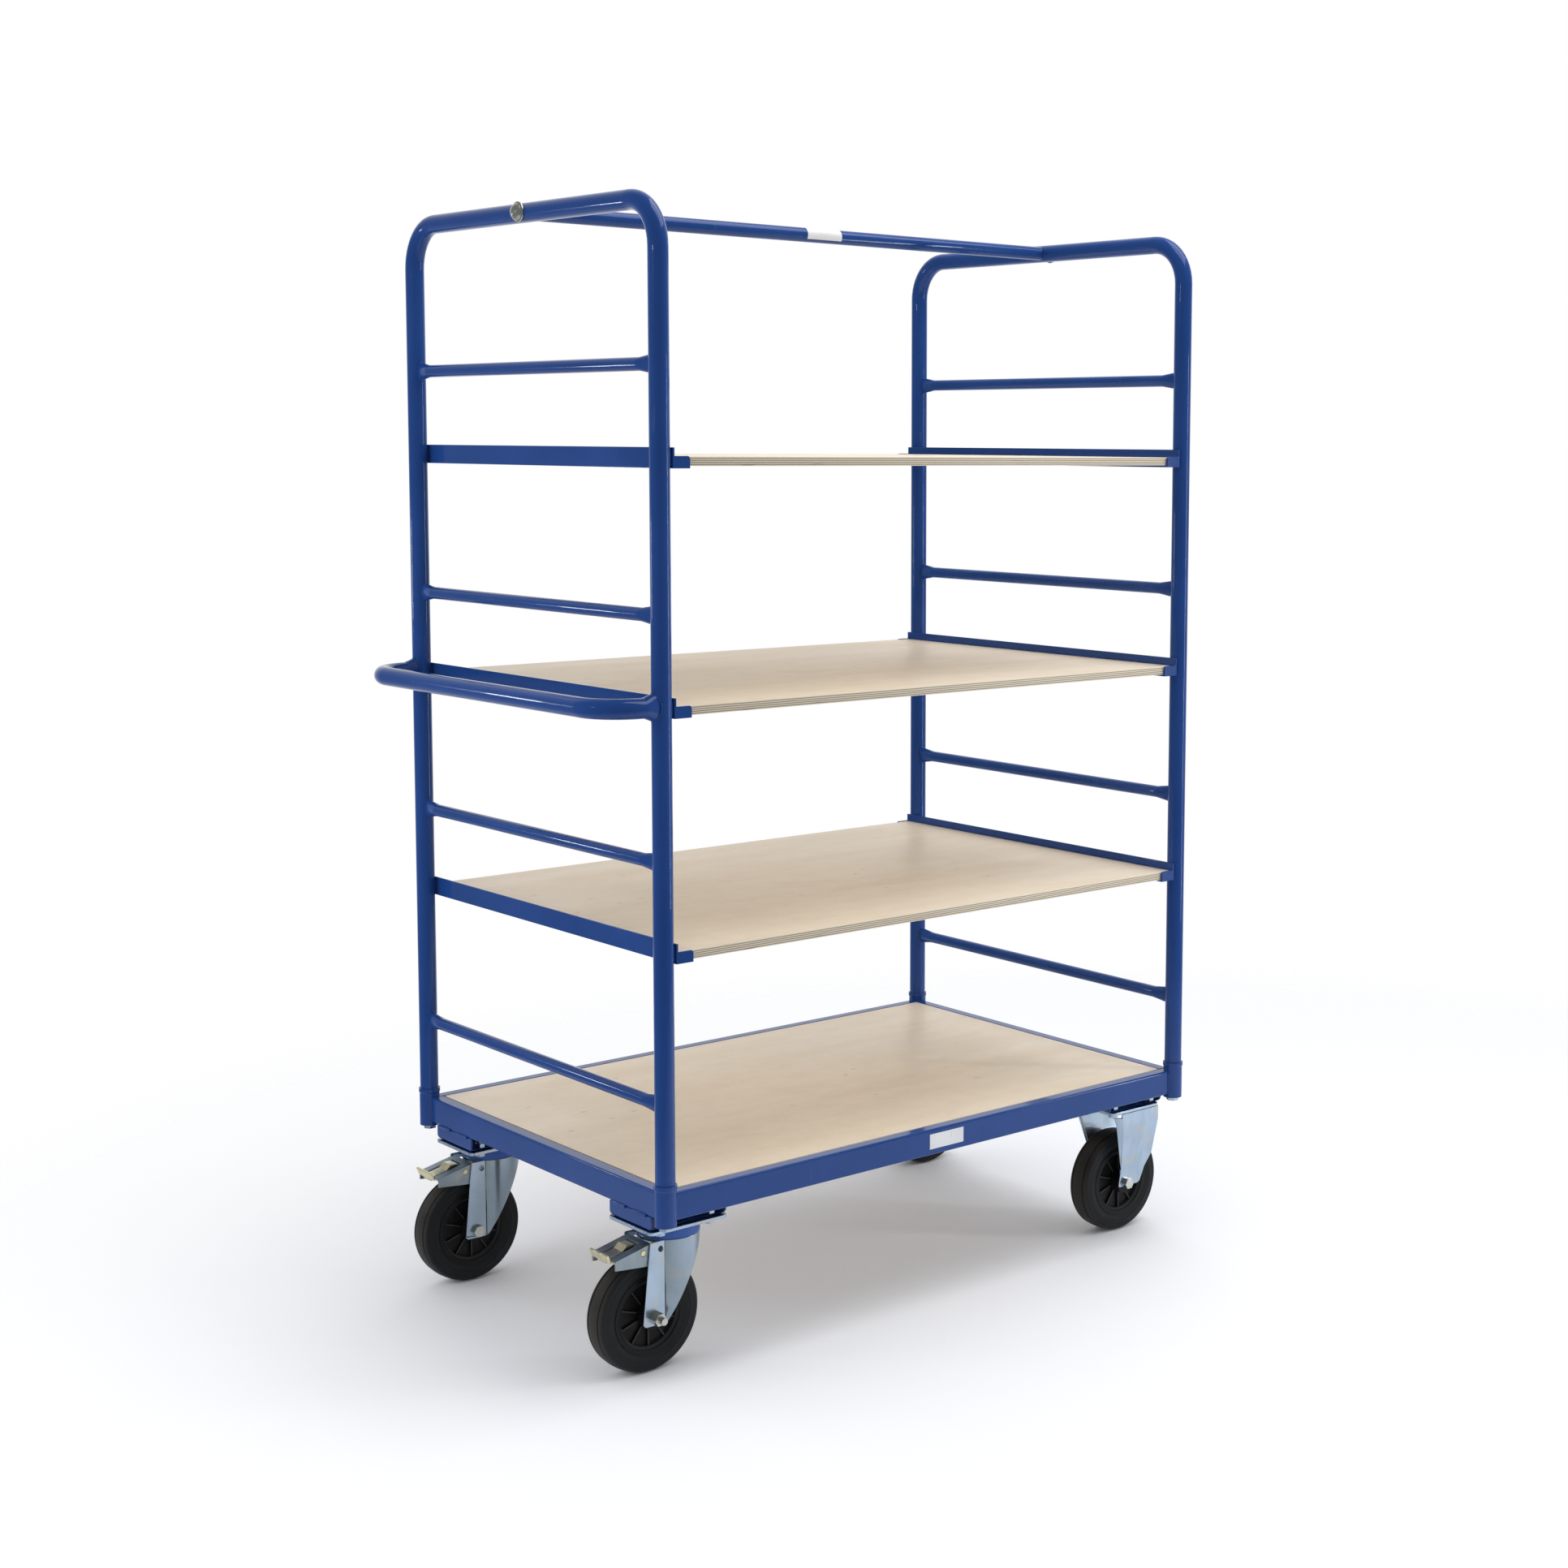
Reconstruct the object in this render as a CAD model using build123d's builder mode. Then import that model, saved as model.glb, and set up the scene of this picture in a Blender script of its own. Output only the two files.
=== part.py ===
from build123d import *
import os

os.makedirs("parts", exist_ok=True)

# Shelf trolley: two bent-tube end frames stand in the corner sockets of a base on casters.
# Millimetres, +Z up, origin on the floor in the middle of the footprint.
# The handle end is the rear (-X); right (-Y) and left (+Y) are as the person pushing sees them.

# Layout of the frame
upright_span_x = 960.0
upright_span_y = 630.0
top_tube_z = 1558.0
handle_z = 910.0
handle_reach = 84.0

# Round tubes
tube_d = 26.9
tube_wall = 2.0
frame_bend_r = 62.0
handle_bend_r = 56.0
handle_flare_length = 14.0
handle_flare_w = 20.0
handle_flare_h = 43.0
bar_d = 21.3
bar_wall = 2.65
rung_d = 18.0
rung_wall = 1.5
rung_flare_length = 28.0
rung_flare_w = 10.0
rung_flare_h = 28.0
flare_overlap = 8.0

# Levels of the rungs and shelves, equally spaced
level_pitch = 322.0
first_rung_z = 383.0
first_shelf_z = 575.0

# Plywood boards
board_t = 12.0
deck_top_z = 265.0
deck_gap = 1.0
shelf_end_gap = 1.0
shelf_tab_gap = 0.5

# Angle shelf rails with a stop tab at both ends
angle_t = 3.0
angle_w = 27.0
shelf_rail_length = 650.0
tab_h = 13.0
tab_corner_r = 4.0

# Rectangular tubes of the base
rail_w = 20.0
rail_h = 38.0
rail_wall = 2.0
rail_corner_r = 3.0
rail_proud = 4.0
cross_w = 20.0

# Corner sockets, closed below
socket_d = 29.5
socket_bore_d = 27.1
socket_lip_d = 31.5
socket_top_z = 278.0
socket_bottom_z = 222.0
socket_floor_t = 3.0
socket_lip_h = 7.0
socket_lip_taper = 2.0
m10_hole_d = 10.5

# Casters: place, plate and bolts
caster_inset = {"rear": 57.0, "front": 53.0}
caster_side_inset = 79.0
plate_w = 104.0
plate_length = {"rear": 126.0, "front": 104.0}
plate_t = 5.0
plate_corner_r = 8.0
plate_top_z = 206.0
bolt_pitch = 80.0
bolt_hole_d = 9.0

# Caster brackets, folded trays below the rails
bracket_w = 100.0
bracket_t = 3.0
bracket_fold_r = 4.0
bracket_corner_r = 8.0
bracket_hole_d = 40.0

# Wheels: rubber tyre on a ribbed rim, turning on a bolt
wheel_d = 160.0
tyre_w = 38.0
tyre_shoulder = 8.0
tread_drop = 1.0
groove = 1.5
rim_d = 110.0
rim_w = 36.0
band_t = 11.0
band_flat = 6.0
band_drop = 4.0
hub_d = 34.0
hub_w = 57.0
web_t = 18.0
rib_count = 10
rib_t = 1.8
rib_w = 26.0
axle_d = 10.0
axle_af = 16.0
axle_head_h = 7.0
axle_nut_h = 12.0
thread_end = 9.0
running_gap = 0.05

# Forks, pressed from sheet
fork_t = 3.0
fork_inner_w = 58.0
swivel_bottom_z = 69.0
swivel_trail = 42.0
swivel_head_z = 185.0
swivel_head_t = 5.0
swivel_leg_top_x = -50.0
swivel_leg_back = 20.0
swivel_leg_front = 16.0
skirt_d = 85.0
skirt_top_x = 35.0
fork_hole = (-33.5, 173.5)
fork_hole_d = 7.0
fixed_bottom_z = 75.0
fixed_leg_rear_x = -31.0
fixed_leg_front_x = 50.0
fixed_front_z = 121.0
fixed_waist_x = -14.0
fixed_heel_x = -18.0
fixed_toe_x = 28.0
fixed_splay_y = 51.6
fixed_bend_z = 181.0
fixed_knee_z = 99.0
fixed_strip_back = 11.0
fixed_strip_in = 9.5
fixed_play = 1.0

# Swivel bearing
kingpin_d = 16.0
kingpin_head_d = 28.0
kingpin_head_h = 6.0
kingpin_nut_af = 24.0
kingpin_nut_h = 8.0
seal_d = 86.0
seal_h = 13.0
race_d = 66.0
race_gap = 5.0
seal_gap = 1.0

# Brake, measured from the kingpin: channel housing, tipping pedal with humped tongue and lip
housing_t = 2.5
housing_front = (-46.0, 183.0)
housing_back = (-103.0, 170.0)
housing_skirt_z = 152.0
housing_back_h = 13.0
pivot = (-59.0, 172.0)
pivot_d = 8.0
pedal_w = 44.0
pedal_t = 3.0
pedal_gap = 1.5
hump_toe = (-61.0, 181.0)
hump_crest = (-73.0, 181.5)
hump_foot_x = -80.0
tongue_w = 22.0
tongue_drop = 0.5
slot_play = 5.0
lip_tip = (-110.5, 178.5)

# Worked-out places
ends = {"rear": -1, "front": 1}
sides = {"right": -1, "left": 1}
frame_centre_x = (handle_reach + tube_d / 2 - (wheel_d / 2 - caster_inset["front"])) / 2
end_x = {end: frame_centre_x + sign * upright_span_x / 2 for end, sign in ends.items()}
side_y = {side: sign * upright_span_y / 2 for side, sign in sides.items()}
corners = [(end, side) for end in ends for side in sides]
caster_x = {end: end_x[end] - sign * caster_inset[end] for end, sign in ends.items()}
caster_y = {side: side_y[side] - sign * caster_side_inset for side, sign in sides.items()}
rail_mid_z = deck_top_z - rail_h / 2
rail_bottom_z = deck_top_z - rail_h
rail_inset = rail_w / 2 - rail_proud
rail_inner = rail_w - rail_proud
rung_levels = [first_rung_z + i * level_pitch for i in range(4)]
shelf_levels = [first_shelf_z + i * level_pitch for i in range(3)]
axle_z = wheel_d / 2
hex_factor = 2 / 3**0.5


def caster_bolt_places(x, y):
    """Centres of the four bolts of the caster at (x, y)."""
    half = bolt_pitch / 2
    return [(x + dx, y + dy) for dx in (-half, half) for dy in (-half, half)]


# Side rails: rectangular tubes coped around the corner sockets
for side, sign in sides.items():
    with BuildPart() as side_rail:
        with BuildSketch(Plane.YZ.offset(end_x["rear"])):
            with Locations((side_y[side] - sign * rail_inset, rail_mid_z)):
                RectangleRounded(rail_w, rail_h, rail_corner_r)
                RectangleRounded(
                    rail_w - 2 * rail_wall, rail_h - 2 * rail_wall, rail_corner_r - rail_wall,
                    mode=Mode.SUBTRACT,
                )
        extrude(amount=upright_span_x)
        with Locations(*[(x, side_y[side], rail_mid_z) for x in end_x.values()]):
            Cylinder(socket_d / 2, 2 * rail_h, mode=Mode.SUBTRACT)
    side_rail.part.label = f"side_rail_{side}"
    export_step(side_rail.part, f"parts/{side_rail.part.label}.step")

# End rails: between the side rails, with the outer wall reaching the sockets
for end, sign in ends.items():
    with BuildPart() as end_rail:
        with BuildSketch(Plane.XZ):
            with Locations((end_x[end] - sign * rail_inset, rail_mid_z)):
                RectangleRounded(rail_w, rail_h, rail_corner_r)
                RectangleRounded(
                    rail_w - 2 * rail_wall, rail_h - 2 * rail_wall, rail_corner_r - rail_wall,
                    mode=Mode.SUBTRACT,
                )
        extrude(amount=upright_span_y / 2, both=True)
        with Locations(*[(end_x[end] - sign * rail_w / 2, y, rail_mid_z) for y in side_y.values()]):
            Box(rail_w, 2 * rail_inner, 2 * rail_h, mode=Mode.SUBTRACT)
        with Locations(*[(end_x[end], y, rail_mid_z) for y in side_y.values()]):
            Cylinder(socket_d / 2, 2 * rail_h, mode=Mode.SUBTRACT)
    end_rail.part.label = f"end_rail_{end}"
    export_step(end_rail.part, f"parts/{end_rail.part.label}.step")

# Corner sockets: cups with a wider lip and a bolt hole in the floor
for end, side in corners:
    radial = Plane(origin=(end_x[end], side_y[side], 0), x_dir=(1, 0, 0), z_dir=(0, -1, 0))
    floor_z = socket_bottom_z + socket_floor_t
    with BuildPart() as socket:
        with BuildSketch(radial):
            with BuildLine():
                Polyline(
                    (m10_hole_d / 2, socket_bottom_z),
                    (socket_d / 2, socket_bottom_z),
                    (socket_d / 2, socket_top_z - socket_lip_h),
                    (socket_lip_d / 2, socket_top_z - socket_lip_h + socket_lip_taper),
                    (socket_lip_d / 2, socket_top_z),
                    (socket_bore_d / 2, socket_top_z),
                    (socket_bore_d / 2, floor_z),
                    (m10_hole_d / 2, floor_z),
                    close=True,
                )
            make_face()
        revolve(axis=Axis(radial.origin, (0, 0, 1)))
    socket.part.label = f"socket_{end}_{side}"
    export_step(socket.part, f"parts/{socket.part.label}.step")

# Cross members: rear and front ones stand on the inner flanges of the brackets
cross_inset = {end: 2 * caster_inset[end] + rail_proud - cross_w / 2 + bracket_t / 2 for end in ends}
cross_h = rail_h - board_t
cross_x = {
    "rear": end_x["rear"] + cross_inset["rear"],
    "middle": frame_centre_x,
    "front": end_x["front"] - cross_inset["front"],
}
for place, x in cross_x.items():
    with BuildPart() as cross_member:
        with BuildSketch(Plane.XZ):
            with Locations((x, rail_bottom_z + cross_h / 2)):
                RectangleRounded(cross_w, cross_h, rail_corner_r)
                RectangleRounded(
                    cross_w - 2 * rail_wall, cross_h - 2 * rail_wall, rail_corner_r - rail_wall,
                    mode=Mode.SUBTRACT,
                )
        extrude(amount=upright_span_y / 2 - rail_inner, both=True)
    cross_member.part.label = f"cross_member_{place}"
    export_step(cross_member.part, f"parts/{cross_member.part.label}.step")

# Deck board, flush with the tops of the rails
with BuildPart() as deck_board:
    with BuildSketch(Plane.XY.offset(deck_top_z - board_t)):
        with Locations((frame_centre_x, 0)):
            Rectangle(
                upright_span_x - 2 * (rail_inner + deck_gap), upright_span_y - 2 * (rail_inner + deck_gap)
            )
    extrude(amount=board_t)
deck_board.part.label = "deck_board"
export_step(deck_board.part, "parts/deck_board.step")

# Caster brackets: trays folded up at both X ends, rounded at the lower corners
for end, side in corners:
    x, y = caster_x[end], caster_y[side]
    bracket_half = caster_inset[end] + rail_proud
    fold_x = bracket_half - bracket_t / 2
    fold_z = plate_top_z + bracket_t / 2
    with BuildPart() as bracket:
        with BuildSketch(Plane.XZ.offset(-y)):
            with BuildLine():
                FilletPolyline(
                    (x - fold_x, rail_bottom_z),
                    (x - fold_x, fold_z),
                    (x + fold_x, fold_z),
                    (x + fold_x, rail_bottom_z),
                    radius=bracket_fold_r,
                )
            trace(line_width=bracket_t)
        extrude(amount=bracket_w / 2, both=True)
        with BuildSketch(Plane.YZ.offset(x)):
            with Locations((y, plate_top_z + bracket_w / 2)):
                RectangleRounded(bracket_w, bracket_w, bracket_corner_r)
        extrude(amount=bracket_half, both=True, mode=Mode.INTERSECT)
        with Locations(*[(px, py, plate_top_z) for px, py in caster_bolt_places(x, y)]):
            Cylinder(bolt_hole_d / 2, 4 * bracket_t, mode=Mode.SUBTRACT)
        with Locations((x, y, plate_top_z)):
            Cylinder(bracket_hole_d / 2, 4 * bracket_t, mode=Mode.SUBTRACT)
    bracket.part.label = f"caster_bracket_{end}_{side}"
    export_step(bracket.part, f"parts/{bracket.part.label}.step")

# End frames: one bent tube each, standing on the socket floors
frame_foot_z = socket_bottom_z + socket_floor_t
for end, x in end_x.items():
    y = upright_span_y / 2
    with BuildPart() as end_frame:
        with BuildLine():
            FilletPolyline(
                (x, -y, frame_foot_z), (x, -y, top_tube_z), (x, y, top_tube_z), (x, y, frame_foot_z),
                radius=frame_bend_r,
            )
        with BuildSketch(Plane((x, -y, frame_foot_z))):
            Circle(tube_d / 2)
            Circle(tube_d / 2 - tube_wall, mode=Mode.SUBTRACT)
        sweep()
        with Locations((x, 0, top_tube_z)):
            Cylinder(m10_hole_d / 2, 2 * tube_d, rotation=(0, 90, 0), mode=Mode.SUBTRACT)
    end_frame.part.label = f"end_frame_{end}"
    export_step(end_frame.part, f"parts/{end_frame.part.label}.step")

# Rungs: four thinner tubes at each end, flattened where they meet the uprights
rung_round_y = upright_span_y / 2 - tube_d / 2 - rung_flare_length
rung_end_y = upright_span_y / 2 - tube_d / 2 + flare_overlap
for end, x in end_x.items():
    with BuildPart() as rungs:
        for z in rung_levels:
            with BuildSketch(Plane.XZ):
                with Locations((x, z)):
                    Circle(rung_d / 2)
                    Circle(rung_d / 2 - rung_wall, mode=Mode.SUBTRACT)
            extrude(amount=rung_round_y, both=True)
            for sign in sides.values():
                with BuildSketch(Plane.XZ.offset(-sign * rung_round_y)):
                    with Locations((x, z)):
                        Circle(rung_d / 2)
                with BuildSketch(Plane.XZ.offset(-sign * rung_end_y)):
                    with Locations((x, z)):
                        Ellipse(rung_flare_w / 2, rung_flare_h / 2)
                loft()
        with Locations(*[(x, y, top_tube_z / 2) for y in side_y.values()]):
            Cylinder(tube_d / 2, top_tube_z, mode=Mode.SUBTRACT)
    rungs.part.label = f"rungs_{end}"
    export_step(rungs.part, f"parts/{rungs.part.label}.step")

# Shelf rails: angles on the inner side of the uprights, ends closed by stop tabs
for end, sign in ends.items():
    face_x = end_x[end] - sign * tube_d / 2
    web_x = face_x - sign * angle_t
    edge_x = face_x - sign * angle_w
    for number, z in enumerate(shelf_levels, start=1):
        with BuildPart() as shelf_rail:
            with BuildSketch(Plane.XZ):
                with BuildLine():
                    Polyline(
                        (face_x, z - angle_t),
                        (edge_x, z - angle_t),
                        (edge_x, z),
                        (web_x, z),
                        (web_x, z - angle_t + angle_w),
                        (face_x, z - angle_t + angle_w),
                        close=True,
                    )
                make_face()
            extrude(amount=shelf_rail_length / 2, both=True)
            for tab_sign in sides.values():
                with BuildSketch(Plane.XZ.offset(-tab_sign * (shelf_rail_length - angle_t) / 2)) as tab:
                    with Locations(((web_x + edge_x) / 2, z + tab_h / 2)):
                        Rectangle(angle_w - angle_t, tab_h)
                    upper = tab.vertices().group_by(Axis.Y)[-1]
                    inner = upper.sort_by(Axis.X)[0 if sign > 0 else -1]
                    fillet(inner, radius=tab_corner_r)
                extrude(amount=angle_t / 2, both=True)
        shelf_rail.part.label = f"shelf_rail_{end}_{number}"
        export_step(shelf_rail.part, f"parts/{shelf_rail.part.label}.step")

# Push handle: bent tube, ends flattened upright and coped to the rear uprights
flare_x = end_x["rear"] - tube_d / 2 - handle_flare_length
with BuildPart() as push_handle:
    handle_x = end_x["rear"] - handle_reach
    y = upright_span_y / 2
    with BuildLine():
        FilletPolyline(
            (flare_x, -y, handle_z),
            (handle_x, -y, handle_z),
            (handle_x, y, handle_z),
            (flare_x, y, handle_z),
            radius=handle_bend_r,
        )
    with BuildSketch(Plane((flare_x, -y, handle_z), x_dir=(0, 1, 0), z_dir=(-1, 0, 0))):
        Circle(tube_d / 2)
        Circle(tube_d / 2 - tube_wall, mode=Mode.SUBTRACT)
    sweep()
    for y in side_y.values():
        with BuildSketch(Plane.YZ.offset(flare_x)):
            with Locations((y, handle_z)):
                Circle(tube_d / 2)
        with BuildSketch(Plane.YZ.offset(end_x["rear"] - tube_d / 2 + flare_overlap)):
            with Locations((y, handle_z)):
                Ellipse(handle_flare_w / 2, handle_flare_h / 2)
        loft()
    with Locations(*[(end_x["rear"], y, handle_z) for y in side_y.values()]):
        Cylinder(tube_d / 2, 4 * handle_flare_h, mode=Mode.SUBTRACT)
push_handle.part.label = "push_handle"
export_step(push_handle.part, "parts/push_handle.step")

# Top bar: tube coped between the two end frames
with BuildPart() as top_bar:
    with BuildSketch(Plane.YZ.offset(end_x["rear"])):
        with Locations((0, top_tube_z)):
            Circle(bar_d / 2)
            Circle(bar_d / 2 - bar_wall, mode=Mode.SUBTRACT)
    extrude(amount=upright_span_x)
    with Locations(*[(x, 0, top_tube_z) for x in end_x.values()]):
        Cylinder(tube_d / 2, 4 * bar_d, rotation=(90, 0, 0), mode=Mode.SUBTRACT)
top_bar.part.label = "top_bar"
export_step(top_bar.part, "parts/top_bar.step")

# Top bar bolts: dome head and washer outside, threaded insert inside the bar
bolt_r = 5.0
dome_r = 12.0
dome_h = 9.0
washer_r = 14.0
washer_t = 2.0
insert_gap = 0.1
insert_r = bar_d / 2 - bar_wall - insert_gap
insert_near, insert_far, bolt_tip = 26.0, 42.0, 48.0
with BuildPart() as top_bar_bolts:
    for end, sign in ends.items():
        outward = Plane((end_x[end], 0, top_tube_z), x_dir=(sign, 0, 0), z_dir=(0, -sign, 0))
        seat = tube_d / 2
        with BuildSketch(outward):
            with BuildLine():
                shank = Polyline(
                    (-bolt_tip, 0),
                    (-bolt_tip, bolt_r),
                    (-insert_far, bolt_r),
                    (-insert_far, insert_r),
                    (-insert_near, insert_r),
                    (-insert_near, bolt_r),
                    (seat, bolt_r),
                    (seat, washer_r),
                    (seat + washer_t, washer_r),
                    (seat + washer_t, dome_r),
                )
                dome = TangentArc((seat + washer_t + dome_h, 0), shank @ 1, tangent=(0, 1))
                Line(dome @ 0, shank @ 0)
            make_face()
        revolve(axis=Axis(outward.origin, (1, 0, 0)))
top_bar_bolts.part.label = "top_bar_bolts"
export_step(top_bar_bolts.part, "parts/top_bar_bolts.step")

# Socket bolts: hex head and washer below the socket, threaded insert inside the upright
head_af = 17.0
head_h = 4.0
socket_washer_r = 11.0
plug_r = tube_d / 2 - tube_wall - insert_gap
plug_inset = 3.0
plug_z = frame_foot_z + plug_inset
plug_h = 15.0
with BuildPart() as socket_bolts:
    for end, side in corners:
        x, y = end_x[end], side_y[side]
        washer_z = socket_bottom_z - washer_t
        with BuildSketch(Plane((x, y, washer_z - head_h))):
            RegularPolygon(head_af / 2 * hex_factor, 6)
        extrude(amount=head_h)
        with BuildSketch(Plane((x, y, washer_z))):
            Circle(socket_washer_r)
        extrude(amount=washer_t)
        with BuildSketch(Plane((x, y, socket_bottom_z))):
            Circle(bolt_r)
        extrude(amount=plug_z + plug_h - socket_bottom_z)
        with BuildSketch(Plane((x, y, plug_z))):
            Circle(plug_r)
        extrude(amount=plug_h)
socket_bolts.part.label = "socket_bolts"
export_step(socket_bolts.part, "parts/socket_bolts.step")

# Caster bolts: head below the caster plate, nut inside the bracket
caster_bolt_r = 4.0
caster_bolt_af = 13.0
caster_head_h = 5.3
caster_nut_h = 6.5
bolt_end = 5.0
nut_z = plate_top_z + bracket_t
with BuildPart() as caster_bolts:
    for end, side in corners:
        for x, y in caster_bolt_places(caster_x[end], caster_y[side]):
            head_z = plate_top_z - plate_t - caster_head_h
            with BuildSketch(Plane((x, y, head_z))):
                RegularPolygon(caster_bolt_af / 2 * hex_factor, 6)
            extrude(amount=caster_head_h)
            with BuildSketch(Plane((x, y, head_z))):
                Circle(caster_bolt_r)
            extrude(amount=nut_z + caster_nut_h + bolt_end - head_z)
            with BuildSketch(Plane((x, y, nut_z))):
                RegularPolygon(caster_bolt_af / 2 * hex_factor, 6)
            extrude(amount=caster_nut_h)
caster_bolts.part.label = "caster_bolts"
export_step(caster_bolts.part, "parts/caster_bolts.step")

# Shelves: loose boards lying on the angles, between their webs and stop tabs
shelf_length = upright_span_x - tube_d - 2 * (angle_t + shelf_end_gap)
shelf_width = shelf_rail_length - 2 * (angle_t + shelf_tab_gap)
for name, z in zip(("lower", "middle", "upper"), shelf_levels):
    with BuildPart() as shelf:
        with BuildSketch(Plane.XY.offset(z)):
            with Locations((frame_centre_x, 0)):
                Rectangle(shelf_length, shelf_width)
        extrude(amount=board_t)
    shelf.part.label = f"{name}_shelf"
    export_step(shelf.part, f"parts/{shelf.part.label}.step")

# Wheels: the axle is behind the kingpin on the swivel casters and below the plate on the fixed ones
axle_x = {"rear": caster_x["rear"] - swivel_trail, "front": caster_x["front"]}
bore_r = axle_d / 2 + running_gap
for end, side in corners:
    centre = (axle_x[end], caster_y[side], axle_z)
    half_section = Plane(centre, x_dir=(0, 0, 1), z_dir=(-1, 0, 0))
    spin_axis = Axis(centre, (0, 1, 0))

    # Rim: hub, web and chamfered band in one moulding, with thin radial ribs
    rib_length = (rim_d - hub_d) / 2 - band_t
    with BuildPart() as rim:
        with BuildSketch(half_section):
            with BuildLine():
                half_profile = Polyline(
                    (bore_r, 0),
                    (bore_r, hub_w / 2),
                    (hub_d / 2, hub_w / 2),
                    (hub_d / 2, web_t / 2),
                    (rim_d / 2 - band_t, web_t / 2),
                    (rim_d / 2 - band_t, rim_w / 2 - band_drop),
                    (rim_d / 2 - band_flat, rim_w / 2),
                    (rim_d / 2, rim_w / 2),
                    (rim_d / 2, 0),
                )
                mirror(half_profile, about=Plane.XZ)
            make_face()
        revolve(axis=spin_axis)
        with Locations(Plane(centre, z_dir=(0, 1, 0))):
            with PolarLocations(hub_d / 2 + rib_length / 2, rib_count):
                Box(rib_length + band_t / 2, rib_t, rib_w)
    rim.part.label = f"rim_{end}_{side}"
    export_step(rim.part, f"parts/{rim.part.label}.step")

    # Tyre: solid rubber with a groove along each shoulder of the tread
    seat_r = rim_d / 2 + running_gap
    tread_r = wheel_d / 2 - tread_drop
    tread_y = tyre_w / 2 - 3 * groove
    with BuildPart() as tyre:
        with BuildSketch(half_section):
            with BuildLine():
                wall = Polyline(
                    (seat_r, 0),
                    (seat_r, rim_w / 2),
                    (seat_r + 3 * groove, tyre_w / 2 - groove),
                    (wheel_d / 2 - tyre_shoulder, tyre_w / 2),
                )
                shoulder = TangentArc(wall @ 1, (tread_r, tread_y), tangent=(1, 0))
                notch = Polyline(
                    shoulder @ 1,
                    (tread_r - groove, tread_y - groove / 2),
                    (tread_r - groove, tread_y - 3 * groove / 2),
                    (tread_r, tread_y - 2 * groove),
                )
                crown = TangentArc((wheel_d / 2, 0), notch @ 1, tangent=(0, 1))
                half_tyre = [*wall.edges(), *shoulder.edges(), *notch.edges(), *crown.edges()]
                mirror(half_tyre, about=Plane.XZ)
            make_face()
        revolve(axis=spin_axis)
    tyre.part.label = f"tyre_{end}_{side}"
    export_step(tyre.part, f"parts/{tyre.part.label}.step")

    # Axle: bolt with its nut; the nut is outside on the swivel casters, the head on the fixed ones
    fork_half = fork_inner_w / 2 + fork_t
    nut_sign = sides[side] if end == "rear" else -sides[side]
    along = Plane(centre, x_dir=(1, 0, 0), z_dir=(0, nut_sign, 0))
    with BuildPart() as axle:
        with BuildSketch(along.offset(-fork_half - axle_head_h)):
            RegularPolygon(axle_af / 2 * hex_factor, 6)
        extrude(amount=axle_head_h)
        with BuildSketch(along.offset(-fork_half)):
            Circle(axle_d / 2)
        extrude(amount=2 * fork_half + axle_nut_h + thread_end)
        with BuildSketch(along.offset(fork_half)):
            RegularPolygon(axle_af / 2 * hex_factor, 6)
        extrude(amount=axle_nut_h)
    axle.part.label = f"axle_{end}_{side}"
    export_step(axle.part, f"parts/{axle.part.label}.step")

# Swivel casters with brake, at the rear
plate_bottom_z = plate_top_z - plate_t
leg_y = fork_inner_w / 2
front_x, front_z = housing_front
back_x, back_z = housing_back
heel_x = back_x + pedal_t
root_x = back_x - pedal_t
plate_drop = housing_t + pedal_gap + pedal_t / 2


def top_z(place_x):
    """Height of the brake housing's sloping top, at a distance from the kingpin."""
    return front_z + (place_x - front_x) * (front_z - back_z) / (front_x - back_x)


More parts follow.
